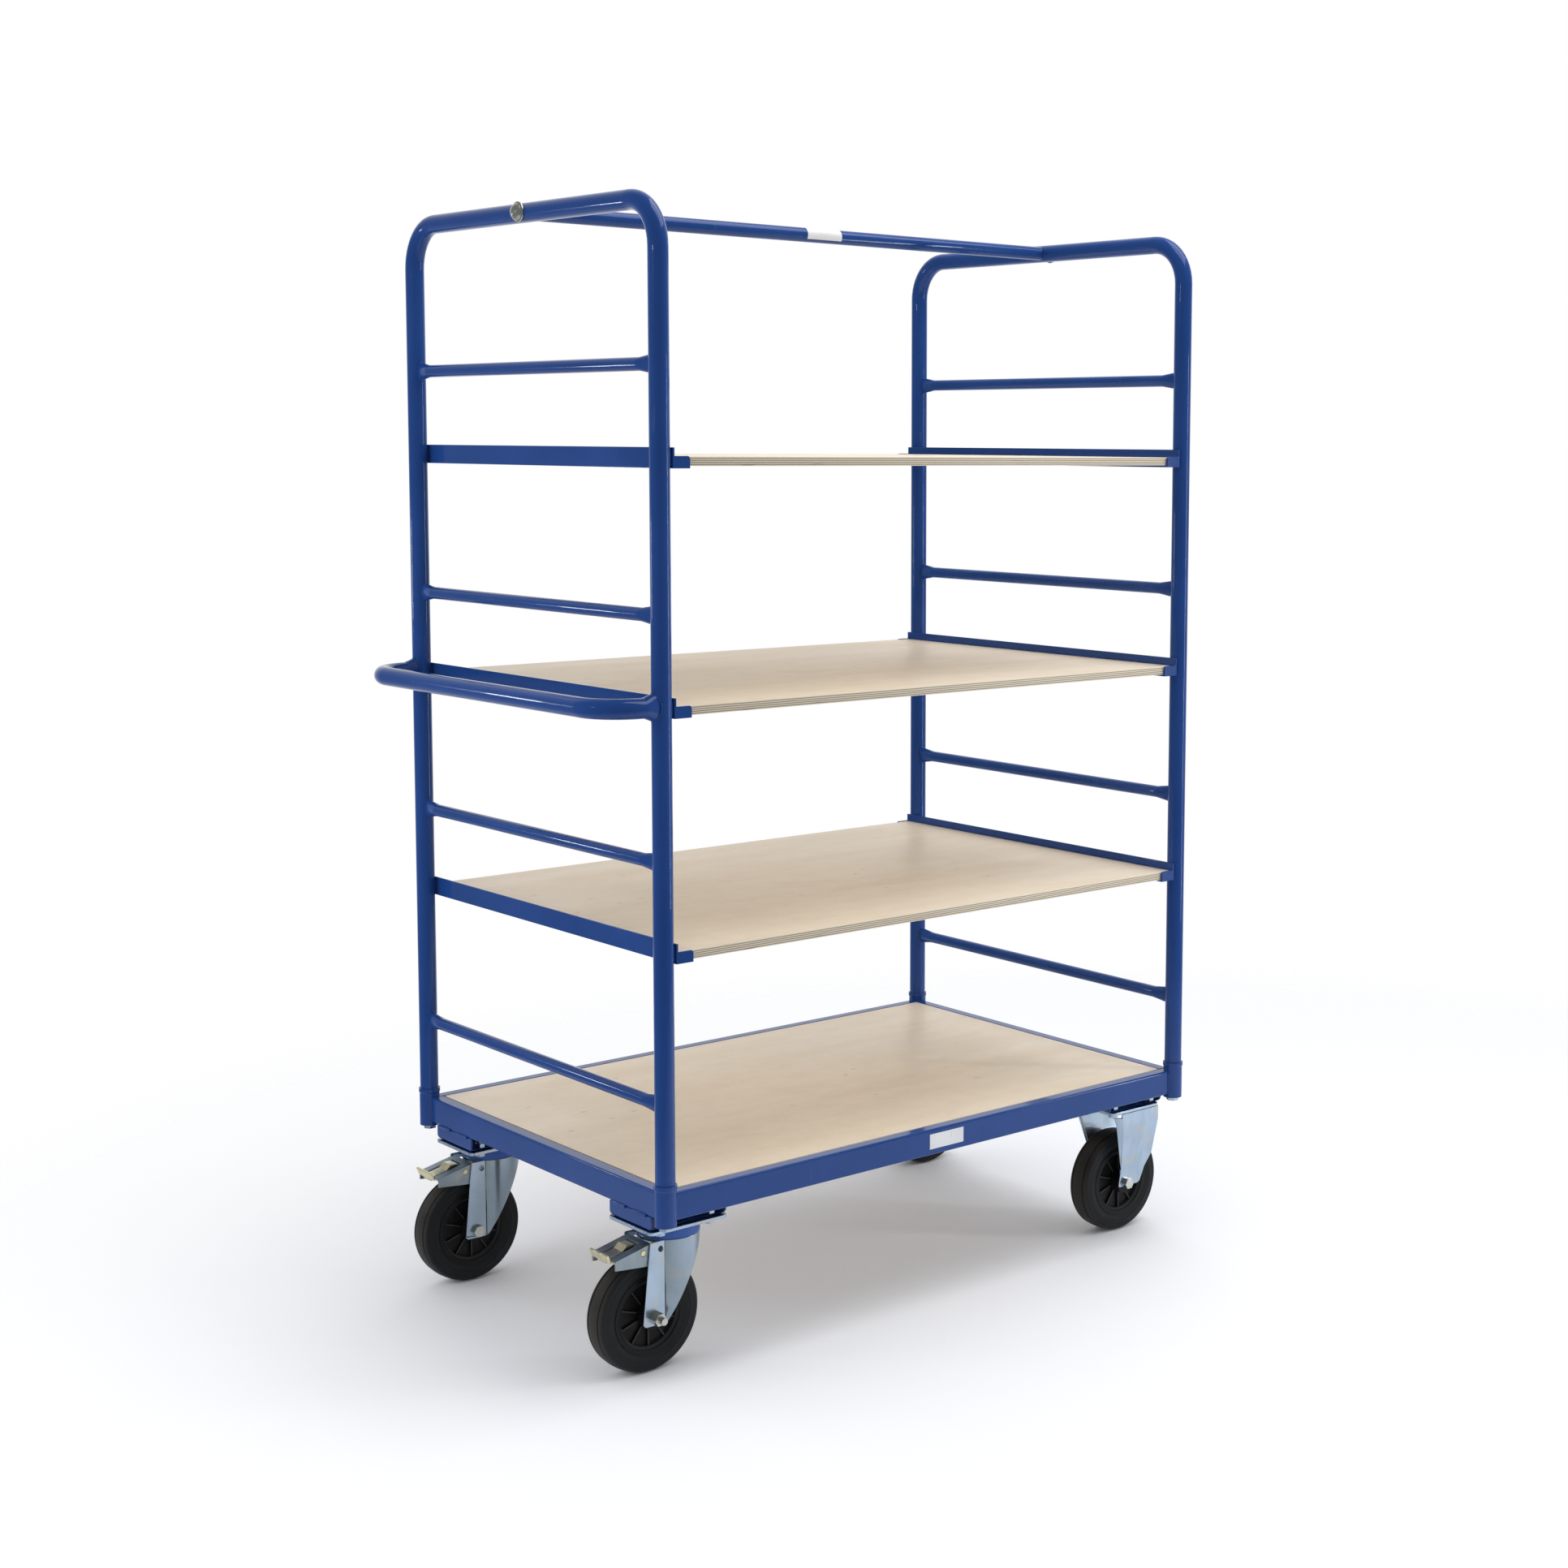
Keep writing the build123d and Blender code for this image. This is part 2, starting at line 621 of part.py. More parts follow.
for side in sides:
    x, y = caster_x["rear"], caster_y[side]
    level = Plane((x, y, 0))
    side_view = Plane((x, y, 0), x_dir=(1, 0, 0), z_dir=(0, -1, 0))

    # Top plate with the upper race pressed below it
    with BuildPart() as swivel_plate:
        with BuildSketch(level.offset(plate_bottom_z)):
            RectangleRounded(plate_length["rear"], plate_w, plate_corner_r)
        extrude(amount=plate_t)
        with BuildSketch(level.offset(swivel_head_z + race_gap)):
            Circle(race_d / 2)
        extrude(amount=plate_bottom_z - swivel_head_z - race_gap)
        with Locations(level.offset(plate_bottom_z)):
            Cylinder(kingpin_d / 2 + running_gap, 2 * race_d, mode=Mode.SUBTRACT)
            with GridLocations(bolt_pitch, bolt_pitch, 2, 2):
                Cylinder(bolt_hole_d / 2, 4 * plate_t, mode=Mode.SUBTRACT)
    swivel_plate.part.label = f"swivel_plate_rear_{side}"
    export_step(swivel_plate.part, f"parts/{swivel_plate.part.label}.step")

    # Kingpin: head above the plate, nut with a little play below the fork
    nut_top_z = swivel_head_z - swivel_head_t - seal_gap
    with BuildPart() as kingpin:
        with BuildSketch(level.offset(nut_top_z - kingpin_nut_h)):
            RegularPolygon(kingpin_nut_af / 2 * hex_factor, 6)
        extrude(amount=kingpin_nut_h)
        with BuildSketch(level.offset(nut_top_z)):
            Circle(kingpin_d / 2)
        extrude(amount=plate_top_z - nut_top_z)
        with BuildSketch(level.offset(plate_top_z)):
            Circle(kingpin_head_d / 2)
        extrude(amount=kingpin_head_h)
    kingpin.part.label = f"kingpin_rear_{side}"
    export_step(kingpin.part, f"parts/{kingpin.part.label}.step")

    # Swivel seal: plastic ring around the race, turning with the fork
    with BuildPart() as swivel_seal:
        with BuildSketch(level.offset(swivel_head_z)):
            Circle(seal_d / 2)
            Circle(race_d / 2 + seal_gap, mode=Mode.SUBTRACT)
        extrude(amount=seal_h)
    swivel_seal.part.label = f"swivel_seal_rear_{side}"
    export_step(swivel_seal.part, f"parts/{swivel_seal.part.label}.step")

    # Fork: a round skirt at the front runs into two flat legs that trail back to the axle
    leg_end_x = -swivel_trail - skirt_d / 2
    with BuildPart() as swivel_fork:
        with BuildSketch(level.offset(swivel_bottom_z)):
            for sheet, mode in ((fork_t, Mode.ADD), (0, Mode.SUBTRACT)):
                skirt_r = skirt_d / 2 - fork_t + sheet
                crease_x = -((skirt_r**2 - (leg_y + sheet) ** 2) ** 0.5)
                with BuildLine():
                    leg = Polyline((leg_end_x, 0), (leg_end_x, leg_y + sheet), (crease_x, leg_y + sheet))
                    half_skirt = ThreePointArc(leg @ 1, (0, skirt_r), (skirt_r, 0))
                    mirror([*leg.edges(), *half_skirt.edges()], about=Plane.XZ)
                make_face(mode=mode)
        extrude(amount=swivel_head_z - swivel_bottom_z)
        with BuildSketch(side_view):
            with BuildLine():
                FilletPolyline(
                    (swivel_leg_top_x, swivel_head_z),
                    (-swivel_trail - swivel_leg_back, swivel_bottom_z),
                    (-swivel_trail + swivel_leg_front, swivel_bottom_z),
                    (skirt_top_x, swivel_head_z - swivel_head_t),
                    (seal_d / 2, swivel_head_z - swivel_head_t),
                    (seal_d / 2, swivel_head_z),
                    radius=[0, 2 * fork_t, 3 * fork_t, 0, 0, 0],
                    close=True,
                )
            make_face()
        extrude(amount=skirt_d, both=True, mode=Mode.INTERSECT)
        with BuildSketch(level.offset(swivel_head_z - swivel_head_t)):
            Circle(seal_d / 2 - seal_gap)
        extrude(amount=swivel_head_t)
        with Locations((x, y, swivel_head_z)):
            Cylinder(kingpin_d / 2 + running_gap, 4 * swivel_head_t, mode=Mode.SUBTRACT)
        with Locations((x - swivel_trail, y, axle_z)):
            Cylinder(bore_r, 2 * skirt_d, rotation=(90, 0, 0), mode=Mode.SUBTRACT)
        with Locations((x + fork_hole[0], y, fork_hole[1])):
            Cylinder(fork_hole_d / 2, 2 * skirt_d, rotation=(90, 0, 0), mode=Mode.SUBTRACT)
    swivel_fork.part.label = f"swivel_fork_rear_{side}"
    export_step(swivel_fork.part, f"parts/{swivel_fork.part.label}.step")

    # Brake housing: sloping channel between the legs, its top slotted from the back for the tongue
    with BuildPart() as brake_housing:
        with BuildSketch(side_view):
            with BuildLine():
                Polyline(
                    (front_x, front_z),
                    (back_x, back_z),
                    (back_x, back_z - housing_back_h),
                    (swivel_leg_top_x, housing_skirt_z),
                    (front_x, housing_skirt_z),
                    close=True,
                )
            make_face()
        extrude(amount=leg_y, both=True)
        with BuildSketch(side_view):
            with BuildLine():
                Polyline(
                    (front_x, front_z - housing_t),
                    (back_x, back_z - housing_t),
                    (back_x, swivel_bottom_z),
                    (front_x, swivel_bottom_z),
                    close=True,
                )
            make_face()
        extrude(amount=leg_y - housing_t, both=True, mode=Mode.SUBTRACT)
        slot_front_x = hump_toe[0] + slot_play
        slot_length = slot_front_x - back_x + slot_play
        slot_depth = front_z - back_z + 2 * housing_t
        with Locations((x + slot_front_x - slot_length / 2, y, front_z)):
            Box(slot_length, tongue_w + slot_play, 2 * slot_depth, mode=Mode.SUBTRACT)
        with Locations((x + pivot[0], y, pivot[1])):
            Cylinder(pivot_d / 2 + running_gap, 2 * skirt_d, rotation=(90, 0, 0), mode=Mode.SUBTRACT)
    brake_housing.part.label = f"brake_housing_rear_{side}"
    export_step(brake_housing.part, f"parts/{brake_housing.part.label}.step")

    # Brake pedal: plate on a pin under the housing's top, humped tongue in the slot, lip turned up behind
    with BuildPart() as brake_pedal:
        with BuildSketch(side_view):
            with BuildLine():
                Line((pivot[0], top_z(pivot[0]) - plate_drop), (heel_x, top_z(heel_x) - plate_drop))
            trace(line_width=pedal_t)
        extrude(amount=pedal_w / 2, both=True)
        with BuildSketch(side_view):
            with Locations(pivot):
                Circle(pivot_d / 2)
        extrude(amount=leg_y - running_gap, both=True)
        with BuildSketch(side_view):
            with BuildLine():
                Polyline(
                    (hump_toe[0], top_z(hump_toe[0]) - plate_drop),
                    hump_toe,
                    hump_crest,
                    (hump_foot_x, top_z(hump_foot_x) - tongue_drop),
                    (root_x, top_z(root_x) - tongue_drop),
                    (root_x, top_z(root_x) - plate_drop),
                    close=True,
                )
            make_face()
        extrude(amount=tongue_w / 2, both=True)
        with BuildSketch(side_view):
            with BuildLine():
                Line((root_x, top_z(root_x) - tongue_drop - pedal_t / 2), lip_tip)
            trace(line_width=pedal_t)
        extrude(amount=pedal_w / 2, both=True)
    brake_pedal.part.label = f"brake_pedal_rear_{side}"
    export_step(brake_pedal.part, f"parts/{brake_pedal.part.label}.step")

# Fixed casters, at the front: plate with two splayed legs, each with a strip folded in along its rear edge
strip_top_z = plate_bottom_z - caster_head_h - fixed_play
strip_w = (fixed_strip_back**2 + fixed_strip_in**2) ** 0.5
strip_t_x = fork_t * fixed_strip_in / strip_w
strip_t_y = fork_t * fixed_strip_back / strip_w


def strip_section(z, sign):
    """Corners of the folded strip at height z, on the leg of one side, measured from the caster's centre."""
    drop = (z - fixed_knee_z) / (plate_bottom_z - fixed_knee_z)
    splay = min(1, (z - fixed_knee_z) / (fixed_bend_z - fixed_knee_z))
    fold_x = fixed_waist_x + drop * (fixed_leg_rear_x - fixed_waist_x)
    fold_y = leg_y + fork_t + splay * (fixed_splay_y - leg_y - fork_t)
    back_x = fold_x - drop * fixed_strip_back
    back_y = fold_y - drop * fixed_strip_in
    return [
        (fold_x, sign * fold_y),
        (back_x, sign * back_y),
        (back_x + strip_t_x, sign * (back_y - strip_t_y)),
        (fold_x + strip_t_x, sign * (fold_y - strip_t_y)),
    ]


for side in sides:
    x, y = caster_x["front"], caster_y[side]
    level = Plane((x, y, 0))
    side_view = Plane((x, y, 0), x_dir=(1, 0, 0), z_dir=(0, -1, 0))
    end_view = Plane((x, y, 0), x_dir=(0, 1, 0), z_dir=(1, 0, 0))
    with BuildPart() as fixed_fork:
        with BuildSketch(end_view):
            with BuildLine():
                Polyline(
                    (leg_y, fixed_bottom_z),
                    (leg_y + fork_t, fixed_bottom_z),
                    (leg_y + fork_t, fixed_knee_z),
                    (fixed_splay_y, fixed_bend_z),
                    (fixed_splay_y, plate_bottom_z),
                    (fixed_splay_y - fork_t, plate_bottom_z),
                    (fixed_splay_y - fork_t, fixed_bend_z),
                    (leg_y, fixed_knee_z),
                    close=True,
                )
            make_face()
            mirror(about=Plane.YZ)
        extrude(amount=plate_w / 2, both=True)
        with BuildSketch(side_view):
            with BuildLine():
                FilletPolyline(
                    (fixed_leg_rear_x, plate_bottom_z),
                    (fixed_waist_x, fixed_knee_z),
                    (fixed_heel_x, fixed_bottom_z),
                    (fixed_toe_x, fixed_bottom_z),
                    (fixed_leg_front_x, fixed_front_z),
                    (fixed_leg_front_x, plate_bottom_z),
                    radius=[0, 10 * fork_t, fork_t, 3 * fork_t, 5 * fork_t, 0],
                    close=True,
                )
            make_face()
        extrude(amount=plate_w, both=True, mode=Mode.INTERSECT)
        for sign in sides.values():
            for low_z, high_z in ((fixed_knee_z + fork_t, fixed_bend_z), (fixed_bend_z, strip_top_z)):
                for z in (low_z, high_z):
                    with BuildSketch(level.offset(z)):
                        with BuildLine():
                            Polyline(*strip_section(z, sign), close=True)
                        make_face()
                loft()
        with BuildSketch(level.offset(plate_bottom_z)):
            RectangleRounded(plate_length["front"], plate_w, plate_corner_r)
        extrude(amount=plate_t)
        with Locations(level.offset(plate_top_z)):
            with GridLocations(bolt_pitch, bolt_pitch, 2, 2):
                Cylinder(bolt_hole_d / 2, 4 * plate_t, mode=Mode.SUBTRACT)
        with Locations((x, y, axle_z)):
            Cylinder(bore_r, 2 * plate_w, rotation=(90, 0, 0), mode=Mode.SUBTRACT)
    fixed_fork.part.label = f"fixed_fork_front_{side}"
    export_step(fixed_fork.part, f"parts/{fixed_fork.part.label}.step")
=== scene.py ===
from math import cos, pi, radians, sin, sqrt

import bmesh
import bpy
from mathutils import Matrix, Vector
from mathutils.bvhtree import BVHTree


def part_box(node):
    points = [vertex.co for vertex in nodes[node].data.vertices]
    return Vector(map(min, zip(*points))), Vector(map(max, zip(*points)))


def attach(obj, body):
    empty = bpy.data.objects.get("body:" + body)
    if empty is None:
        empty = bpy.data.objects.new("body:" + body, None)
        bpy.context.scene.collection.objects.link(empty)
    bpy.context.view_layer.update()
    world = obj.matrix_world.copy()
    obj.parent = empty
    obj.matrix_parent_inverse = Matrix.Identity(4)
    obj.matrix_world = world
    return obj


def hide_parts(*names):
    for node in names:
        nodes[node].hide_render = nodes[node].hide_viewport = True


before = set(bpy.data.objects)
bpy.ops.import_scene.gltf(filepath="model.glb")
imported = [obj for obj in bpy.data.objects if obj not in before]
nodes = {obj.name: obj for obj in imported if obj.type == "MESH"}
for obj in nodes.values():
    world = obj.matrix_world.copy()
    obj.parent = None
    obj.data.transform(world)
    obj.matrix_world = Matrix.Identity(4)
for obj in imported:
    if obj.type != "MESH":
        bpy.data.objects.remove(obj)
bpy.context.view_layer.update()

# Base rails and cross members: rectangular steel tubes, cut square and welded into one flat frame.
# The welded work is powder coated in one blue: smooth and glossy, with a faint orange peel,
# cloudy patches where the powder lay thicker, and a few pale rubs from use.
ends = ("rear", "front")
sides = ("right", "left")
corners = [(end, side) for end in ends for side in sides]
blue_deep = (0.0125, 0.052, 0.215, 1)
blue_light = (0.016, 0.061, 0.25, 1)
blue_rubbed = (0.055, 0.1, 0.27, 1)
blue_roughness = (0.1, 0.16)


def shader_node(tree, kind, inputs, **settings):
    """Adds a node to a tree; each input takes a plain value or another node's output."""
    made = tree.nodes.new("ShaderNode" + kind)
    for setting, value in settings.items():
        setattr(made, setting, value)
    for socket, value in inputs.items():
        if isinstance(value, bpy.types.NodeSocket):
            tree.links.new(value, made.inputs[socket])
        else:
            made.inputs[socket].default_value = value
    return made


def noise(tree, place, scale, detail=3.0, **inputs):
    """A cloudy texture's value, about 0.5 on average."""
    inputs = {"Vector": place, "Scale": scale, "Detail": detail, **inputs}
    return shader_node(tree, "TexNoise", inputs).outputs["Fac"]


def stretched(tree, place, scale):
    """Coordinates drawn out along an axis, for grain, rolling marks and rubs."""
    return shader_node(tree, "Mapping", {"Vector": place, "Scale": scale}).outputs["Vector"]


def spread(tree, value, low, high, first=0.0, last=1.0):
    """Stretches a band of a texture's values to the range given, and cuts off what lies outside."""
    inputs = {"Value": value, "From Min": low, "From Max": high, "To Min": first, "To Max": last}
    return shader_node(tree, "MapRange", inputs).outputs["Result"]


def arithmetic(tree, operation, *values):
    """One sum on plain values or textures."""
    return shader_node(tree, "Math", dict(enumerate(values)), operation=operation).outputs["Value"]


def blended(tree, amount, first, second):
    """The colour between two, by a mask."""
    return shader_node(tree, "Mix", {0: amount, 6: first, 7: second}, data_type="RGBA").outputs[2]


def wear_group():
    """Cloudy patches, fine grain and thin rubs, shared by the painted, plated and moulded finishes."""
    group = bpy.data.node_groups.new("handling_wear", "ShaderNodeTree")
    for name in ("Patch Scale", "Grain Scale", "Rub Scale"):
        group.interface.new_socket(name, in_out="INPUT", socket_type="NodeSocketFloat")
    for name in ("Patches", "Grain", "Rubs"):
        group.interface.new_socket(name, in_out="OUTPUT", socket_type="NodeSocketFloat")
    given = group.nodes.new("NodeGroupInput").outputs
    result = group.nodes.new("NodeGroupOutput")
    place = shader_node(group, "TexCoord", {}).outputs["Object"]
    patches = spread(group, noise(group, place, given["Patch Scale"]), 0.3, 0.7)
    grain = noise(group, place, given["Grain Scale"], 2.0)
    streaks = noise(group, stretched(group, place, (1.0, 1.0, 0.12)), given["Rub Scale"], 4.0)
    worn_area = spread(group, noise(group, place, 6.0), 0.52, 0.66)
    rubs = arithmetic(group, "MULTIPLY", spread(group, streaks, 0.66, 0.74), worn_area)
    for socket, value in (("Patches", patches), ("Grain", grain), ("Rubs", rubs)):
        group.links.new(value, result.inputs[socket])
    return group


wear = wear_group()


def finish(name, **constants):
    """A new material; the shader's plain sockets take the values given, with spaces for underscores."""
    made = bpy.data.materials.new(name)
    made.use_nodes = True
    shader = made.node_tree.nodes["Principled BSDF"]
    for socket, value in constants.items():
        shader.inputs[socket.replace("_", " ")].default_value = value
    return made, made.node_tree, shader


def worn(tree, patch_scale, grain_scale, rub_scale):
    """Places the shared wear in a material."""
    inputs = {"Patch Scale": patch_scale, "Grain Scale": grain_scale, "Rub Scale": rub_scale}
    placed = tree.nodes.new("ShaderNodeGroup")
    placed.node_tree = wear
    for socket, value in inputs.items():
        placed.inputs[socket].default_value = value
    return placed.outputs


def rubbed(tree, marks, amount, colour, bare):
    """Thin rubs through a colour, down to a barer one."""
    return blended(tree, arithmetic(tree, "MULTIPLY", marks["Rubs"], amount), colour, bare)


def bumped(tree, shader, height, strength, distance):
    """Raises a surface by a texture."""
    bump = shader_node(tree, "Bump", {"Height": height, "Strength": strength, "Distance": distance})
    tree.links.new(bump.outputs["Normal"], shader.inputs["Normal"])


def blue_coat_finish():
    """Glossy blue powder coat."""
    coat, tree, shader = finish(
        "blue_coat", Specular_IOR_Level=0.08, Coat_Weight=0.38, Coat_Roughness=0.02
    )
    marks = worn(tree, patch_scale=7.0, grain_scale=1100.0, rub_scale=160.0)
    cloudy = blended(tree, marks["Patches"], blue_deep, blue_light)
    tree.links.new(rubbed(tree, marks, 0.5, cloudy, blue_rubbed), shader.inputs["Base Color"])
    gloss = spread(tree, marks["Patches"], 0.0, 1.0, *blue_roughness)
    dulled = arithmetic(tree, "MULTIPLY_ADD", marks["Rubs"], 0.15, gloss)
    tree.links.new(dulled, shader.inputs["Roughness"])
    bumped(tree, shader, marks["Grain"], strength=0.1, distance=0.0003)
    return coat


blue_coat = blue_coat_finish()


def dress(material, *names):
    """Gives nodes of the frame their finish."""
    for name in names:
        for place in nodes[name].material_slots:
            place.material = material


dress(blue_coat, *[f"side_rail_{side}" for side in sides], *[f"end_rail_{end}" for end in ends])
dress(blue_coat, *[f"cross_member_{place}" for place in ("rear", "middle", "front")])

# Corner sockets: short cups of steel tube with a lip, welded between the rails at the four corners.
# The torch left a rippled bead down both sides of each cup, under the same blue coat.
socket_cup_r = 0.01475
socket_weld_r = 0.0017
socket_weld_inset = 0.003
weld_step = 0.0022
weld_ripple = 0.82


def piece_of(name, mesh, material, body, smooth_angle=None):
    """Puts a finished mesh in the scene as a piece that rides on a body."""
    piece = bpy.data.objects.new(name, mesh)
    bpy.context.collection.objects.link(piece)
    mesh.materials.clear()
    mesh.materials.append(material)
    mesh.shade_smooth()
    if smooth_angle is not None:
        mesh.set_sharp_from_angle(angle=radians(smooth_angle))
    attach(piece, body)
    return piece


def weld_beads(name, runs, bead_r, closed):
    """Raised weld beads along runs of points on the frame, rippled from point to point."""
    line = bpy.data.curves.new(name, "CURVE")
    line.dimensions = "3D"
    line.bevel_depth = bead_r
    line.bevel_resolution = 2
    line.use_fill_caps = not closed
    for points in runs:
        run = line.splines.new("POLY")
        run.points.add(len(points) - 1)
        run.use_cyclic_u = closed
        for i, point in enumerate(points):
            run.points[i].co = (*point, 1.0)
            run.points[i].radius = 1.0 if i % 2 else weld_ripple
    guide = bpy.data.objects.new(name, line)
    mesh = bpy.data.meshes.new_from_object(guide)
    bpy.data.objects.remove(guide)
    piece_of(name, mesh, blue_coat, "frame")


def straight_run(start, stop):
    """Evenly spaced points of a weld from one place to another."""
    start, stop = Vector(start), Vector(stop)
    count = max(2, round((stop - start).length / weld_step))
    return [start.lerp(stop, i / count) for i in range(count + 1)]


socket_runs = []
for end, side in corners:
    low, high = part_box(f"socket_{end}_{side}")
    rail_low, rail_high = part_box(f"side_rail_{side}")
    centre = (low + high) / 2
    out_x = 1 if end == "front" else -1
    out_y = 1 if side == "left" else -1
    rail_y = rail_high.y if side == "left" else rail_low.y
    reach = sqrt(socket_cup_r**2 - (rail_y - centre.y) ** 2)
    foot_z, head_z = rail_low.z + socket_weld_inset, rail_high.z - socket_weld_inset
    for x, y in (
        (centre.x - out_x * reach, rail_y),
        (centre.x + (rail_y - centre.y) * out_x * out_y, centre.y - out_y * reach),
    ):
        socket_runs.append(straight_run((x, y, foot_z), (x, y, head_z)))
    dress(blue_coat, f"socket_{end}_{side}")
weld_beads("socket_welds", socket_runs, socket_weld_r, closed=False)

# Deck board: birch plywood, let in flush with the rails. The face veneer is pale with a faint long figure,
# fine pores and a few small specks; the sawn edge shows nine plies, long grain and end grain in turn.
ply_count = 9
board_ease = 0.0004
deck_snug = 0.0007
veneer_pale, veneer_warm, veneer_shade = (0.83, 0.725, 0.58, 1), (0.775, 0.66, 0.51, 1), (0.66, 0.54, 0.4, 1)
veneer_mottle, veneer_cloud = (0.7, 0.59, 0.455, 1), (0.8, 0.71, 0.59, 1)
pore_brown, knot_brown = (0.4, 0.29, 0.18, 1), (0.26, 0.19, 0.125, 1)
long_grain, end_grain = (0.82, 0.75, 0.61, 1), (0.35, 0.29, 0.21, 1)
fibre_brown, glue_brown, gap_brown = (0.42, 0.35, 0.26, 1), (0.2, 0.155, 0.11, 1), (0.13, 0.1, 0.07, 1)


def measured_from(tree, origin):
    """A piece's own coordinates, measured from a place on the object."""
    place = shader_node(tree, "TexCoord", {}).outputs["Object"]
    return shader_node(tree, "Mapping", {"Vector": place, "Location": -origin}).outputs["Vector"]


def face_veneer(tree, place, figure, streaks):
    """The colour of a board's face: long figure, mottling and streaks, then pores, knots and stains."""
    mottle = noise(tree, stretched(tree, place, (1.0, 1.7, 1.0)), 24.0, 4.0, Distortion=0.4)
    cloud = noise(tree, place, 3.2)
    face = blended(tree, spread(tree, figure, 0.3, 0.75), veneer_pale, veneer_warm)
    face = blended(tree, spread(tree, mottle, 0.42, 0.75, 0.0, 0.42), face, veneer_mottle)
    face = blended(tree, spread(tree, streaks, 0.5, 0.85, 0.0, 0.16), face, veneer_shade)
    face = blended(tree, spread(tree, cloud, 0.42, 0.72, 0.0, 0.5), face, veneer_cloud)

    cells = {"Vector": stretched(tree, place, (1.0, 6.0, 6.0)), "Scale": 60.0, "Randomness": 1.0}
    pores = shader_node(tree, "TexVoronoi", cells).outputs["Distance"]
    pore_area = spread(tree, noise(tree, place, 45.0, 2.0), 0.5, 0.62)
    pore = arithmetic(tree, "MULTIPLY", spread(tree, pores, 0.1, 0.17, 0.45, 0.0), pore_area)
    face = blended(tree, pore, face, pore_brown)

    knots = {"scale": 9.0, "rarity": 0.7, "inner": 0.012, "outer": 0.045, "strength": 0.6}
    stains = {"scale": 16.0, "rarity": 0.62, "inner": 0.03, "outer": 0.12, "strength": 0.3}
    spot_place = stretched(tree, place, (1.0, 1.5, 1.0))
    for kind in (knots, stains):
        cells = {"Vector": spot_place, "Scale": kind["scale"], "Randomness": 1.0}
        spots = shader_node(tree, "TexVoronoi", cells).outputs
        picked = shader_node(tree, "SeparateColor", {"Color": spots["Color"]}).outputs["Red"]
        chosen = arithmetic(tree, "GREATER_THAN", picked, kind["rarity"])
        spot = spread(tree, spots["Distance"], kind["inner"], kind["outer"], kind["strength"], 0.0)
        face = blended(tree, arithmetic(tree, "MULTIPLY", spot, chosen), face, knot_brown)
    return face


def sawn_edge(tree, place, facing, ply):
    """The colour of a board's edge: plies in turn, turned over on the short sides, with glue lines."""
    height = shader_node(tree, "SeparateXYZ", {"Vector": place}).outputs["Z"]
    short_side = arithmetic(tree, "GREATER_THAN", arithmetic(tree, "ABSOLUTE", facing["X"]), 0.5)
    level = arithmetic(tree, "DIVIDE", height, ply)
    turn = arithmetic(tree, "ADD", arithmetic(tree, "FLOOR", level), short_side)
    edge = blended(tree, arithmetic(tree, "MODULO", turn, 2.0), long_grain, end_grain)
    fibre = noise(tree, stretched(tree, place, (1.0, 1.0, 2.0)), 900.0, 2.0)
    edge = blended(tree, spread(tree, fibre, 0.4, 0.75, 0.0, 0.35), edge, fibre_brown)
    within = arithmetic(tree, "PINGPONG", level, 0.5)
    edge = blended(tree, spread(tree, within, 0.03, 0.1, 0.7, 0.0), edge, glue_brown)
    gap = noise(tree, stretched(tree, place, (1.0, 1.0, 16.0)), 14.0)
    return blended(tree, spread(tree, gap, 0.66, 0.72, 0.0, 0.6), edge, gap_brown)


def plywood_finish(name, low, high):
    """Clear-sealed birch plywood for the board that fills this box."""
    wood, tree, shader = finish(name, Coat_Weight=0.06, Coat_Roughness=0.3)
    place = measured_from(tree, low)
    normal = shader_node(tree, "TexCoord", {}).outputs["Normal"]
    facing = shader_node(tree, "SeparateXYZ", {"Vector": normal}).outputs
    figure = noise(tree, stretched(tree, place, (1.0, 7.0, 1.0)), 2.2, 5.0, Distortion=0.8)
    streaks = noise(tree, stretched(tree, place, (1.0, 22.0, 22.0)), 34.0, 4.0)
    face = face_veneer(tree, place, figure, streaks)
    edge = sawn_edge(tree, place, facing, (high.z - low.z) / ply_count)
    on_face = spread(tree, arithmetic(tree, "ABSOLUTE", facing["Z"]), 0.55, 0.75)
    tree.links.new(blended(tree, on_face, edge, face), shader.inputs["Base Color"])
    tree.links.new(spread(tree, figure, 0.3, 0.7, 0.42, 0.52), shader.inputs["Roughness"])
    bumped(tree, shader, streaks, strength=0.12, distance=0.0006)
    return wood


def plywood_board(node, body, snug=0.0):
    """A sawn board with its edges just broken, in the place of its solid, wider where it fits snugly."""
    low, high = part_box(node)
    room = Vector((snug, snug, 0.0))
    low, high = low - room, high + room
    form = bmesh.new()
    bmesh.ops.create_cube(form, size=1.0)
    bmesh.ops.scale(form, vec=high - low, verts=form.verts)
    bmesh.ops.translate(form, vec=(low + high) / 2, verts=form.verts)
    bmesh.ops.bevel(
        form, geom=form.edges, offset=board_ease, segments=2, profile=0.5, affect="EDGES", material=-1
    )
    mesh = bpy.data.meshes.new(f"{node}_ply")
    form.to_mesh(mesh)
    form.free()
    board = piece_of(f"{node}_ply", mesh, plywood_finish(f"{node}_birch", low, high), body, 40)
    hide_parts(node)


plywood_board("deck_board", "frame", deck_snug)

# Caster brackets: trays folded from sheet, holding the casters below the frame corners.
# Each is stitch welded to the underside of its end rail and coated with the frame.
bracket_ease = 0.0008
stitch_r = 0.0027
stitch_length = 0.03
stitch_inset = 0.01
sliver = 5e-5
level_angle = radians(0.2)
sharp_angle = radians(20)


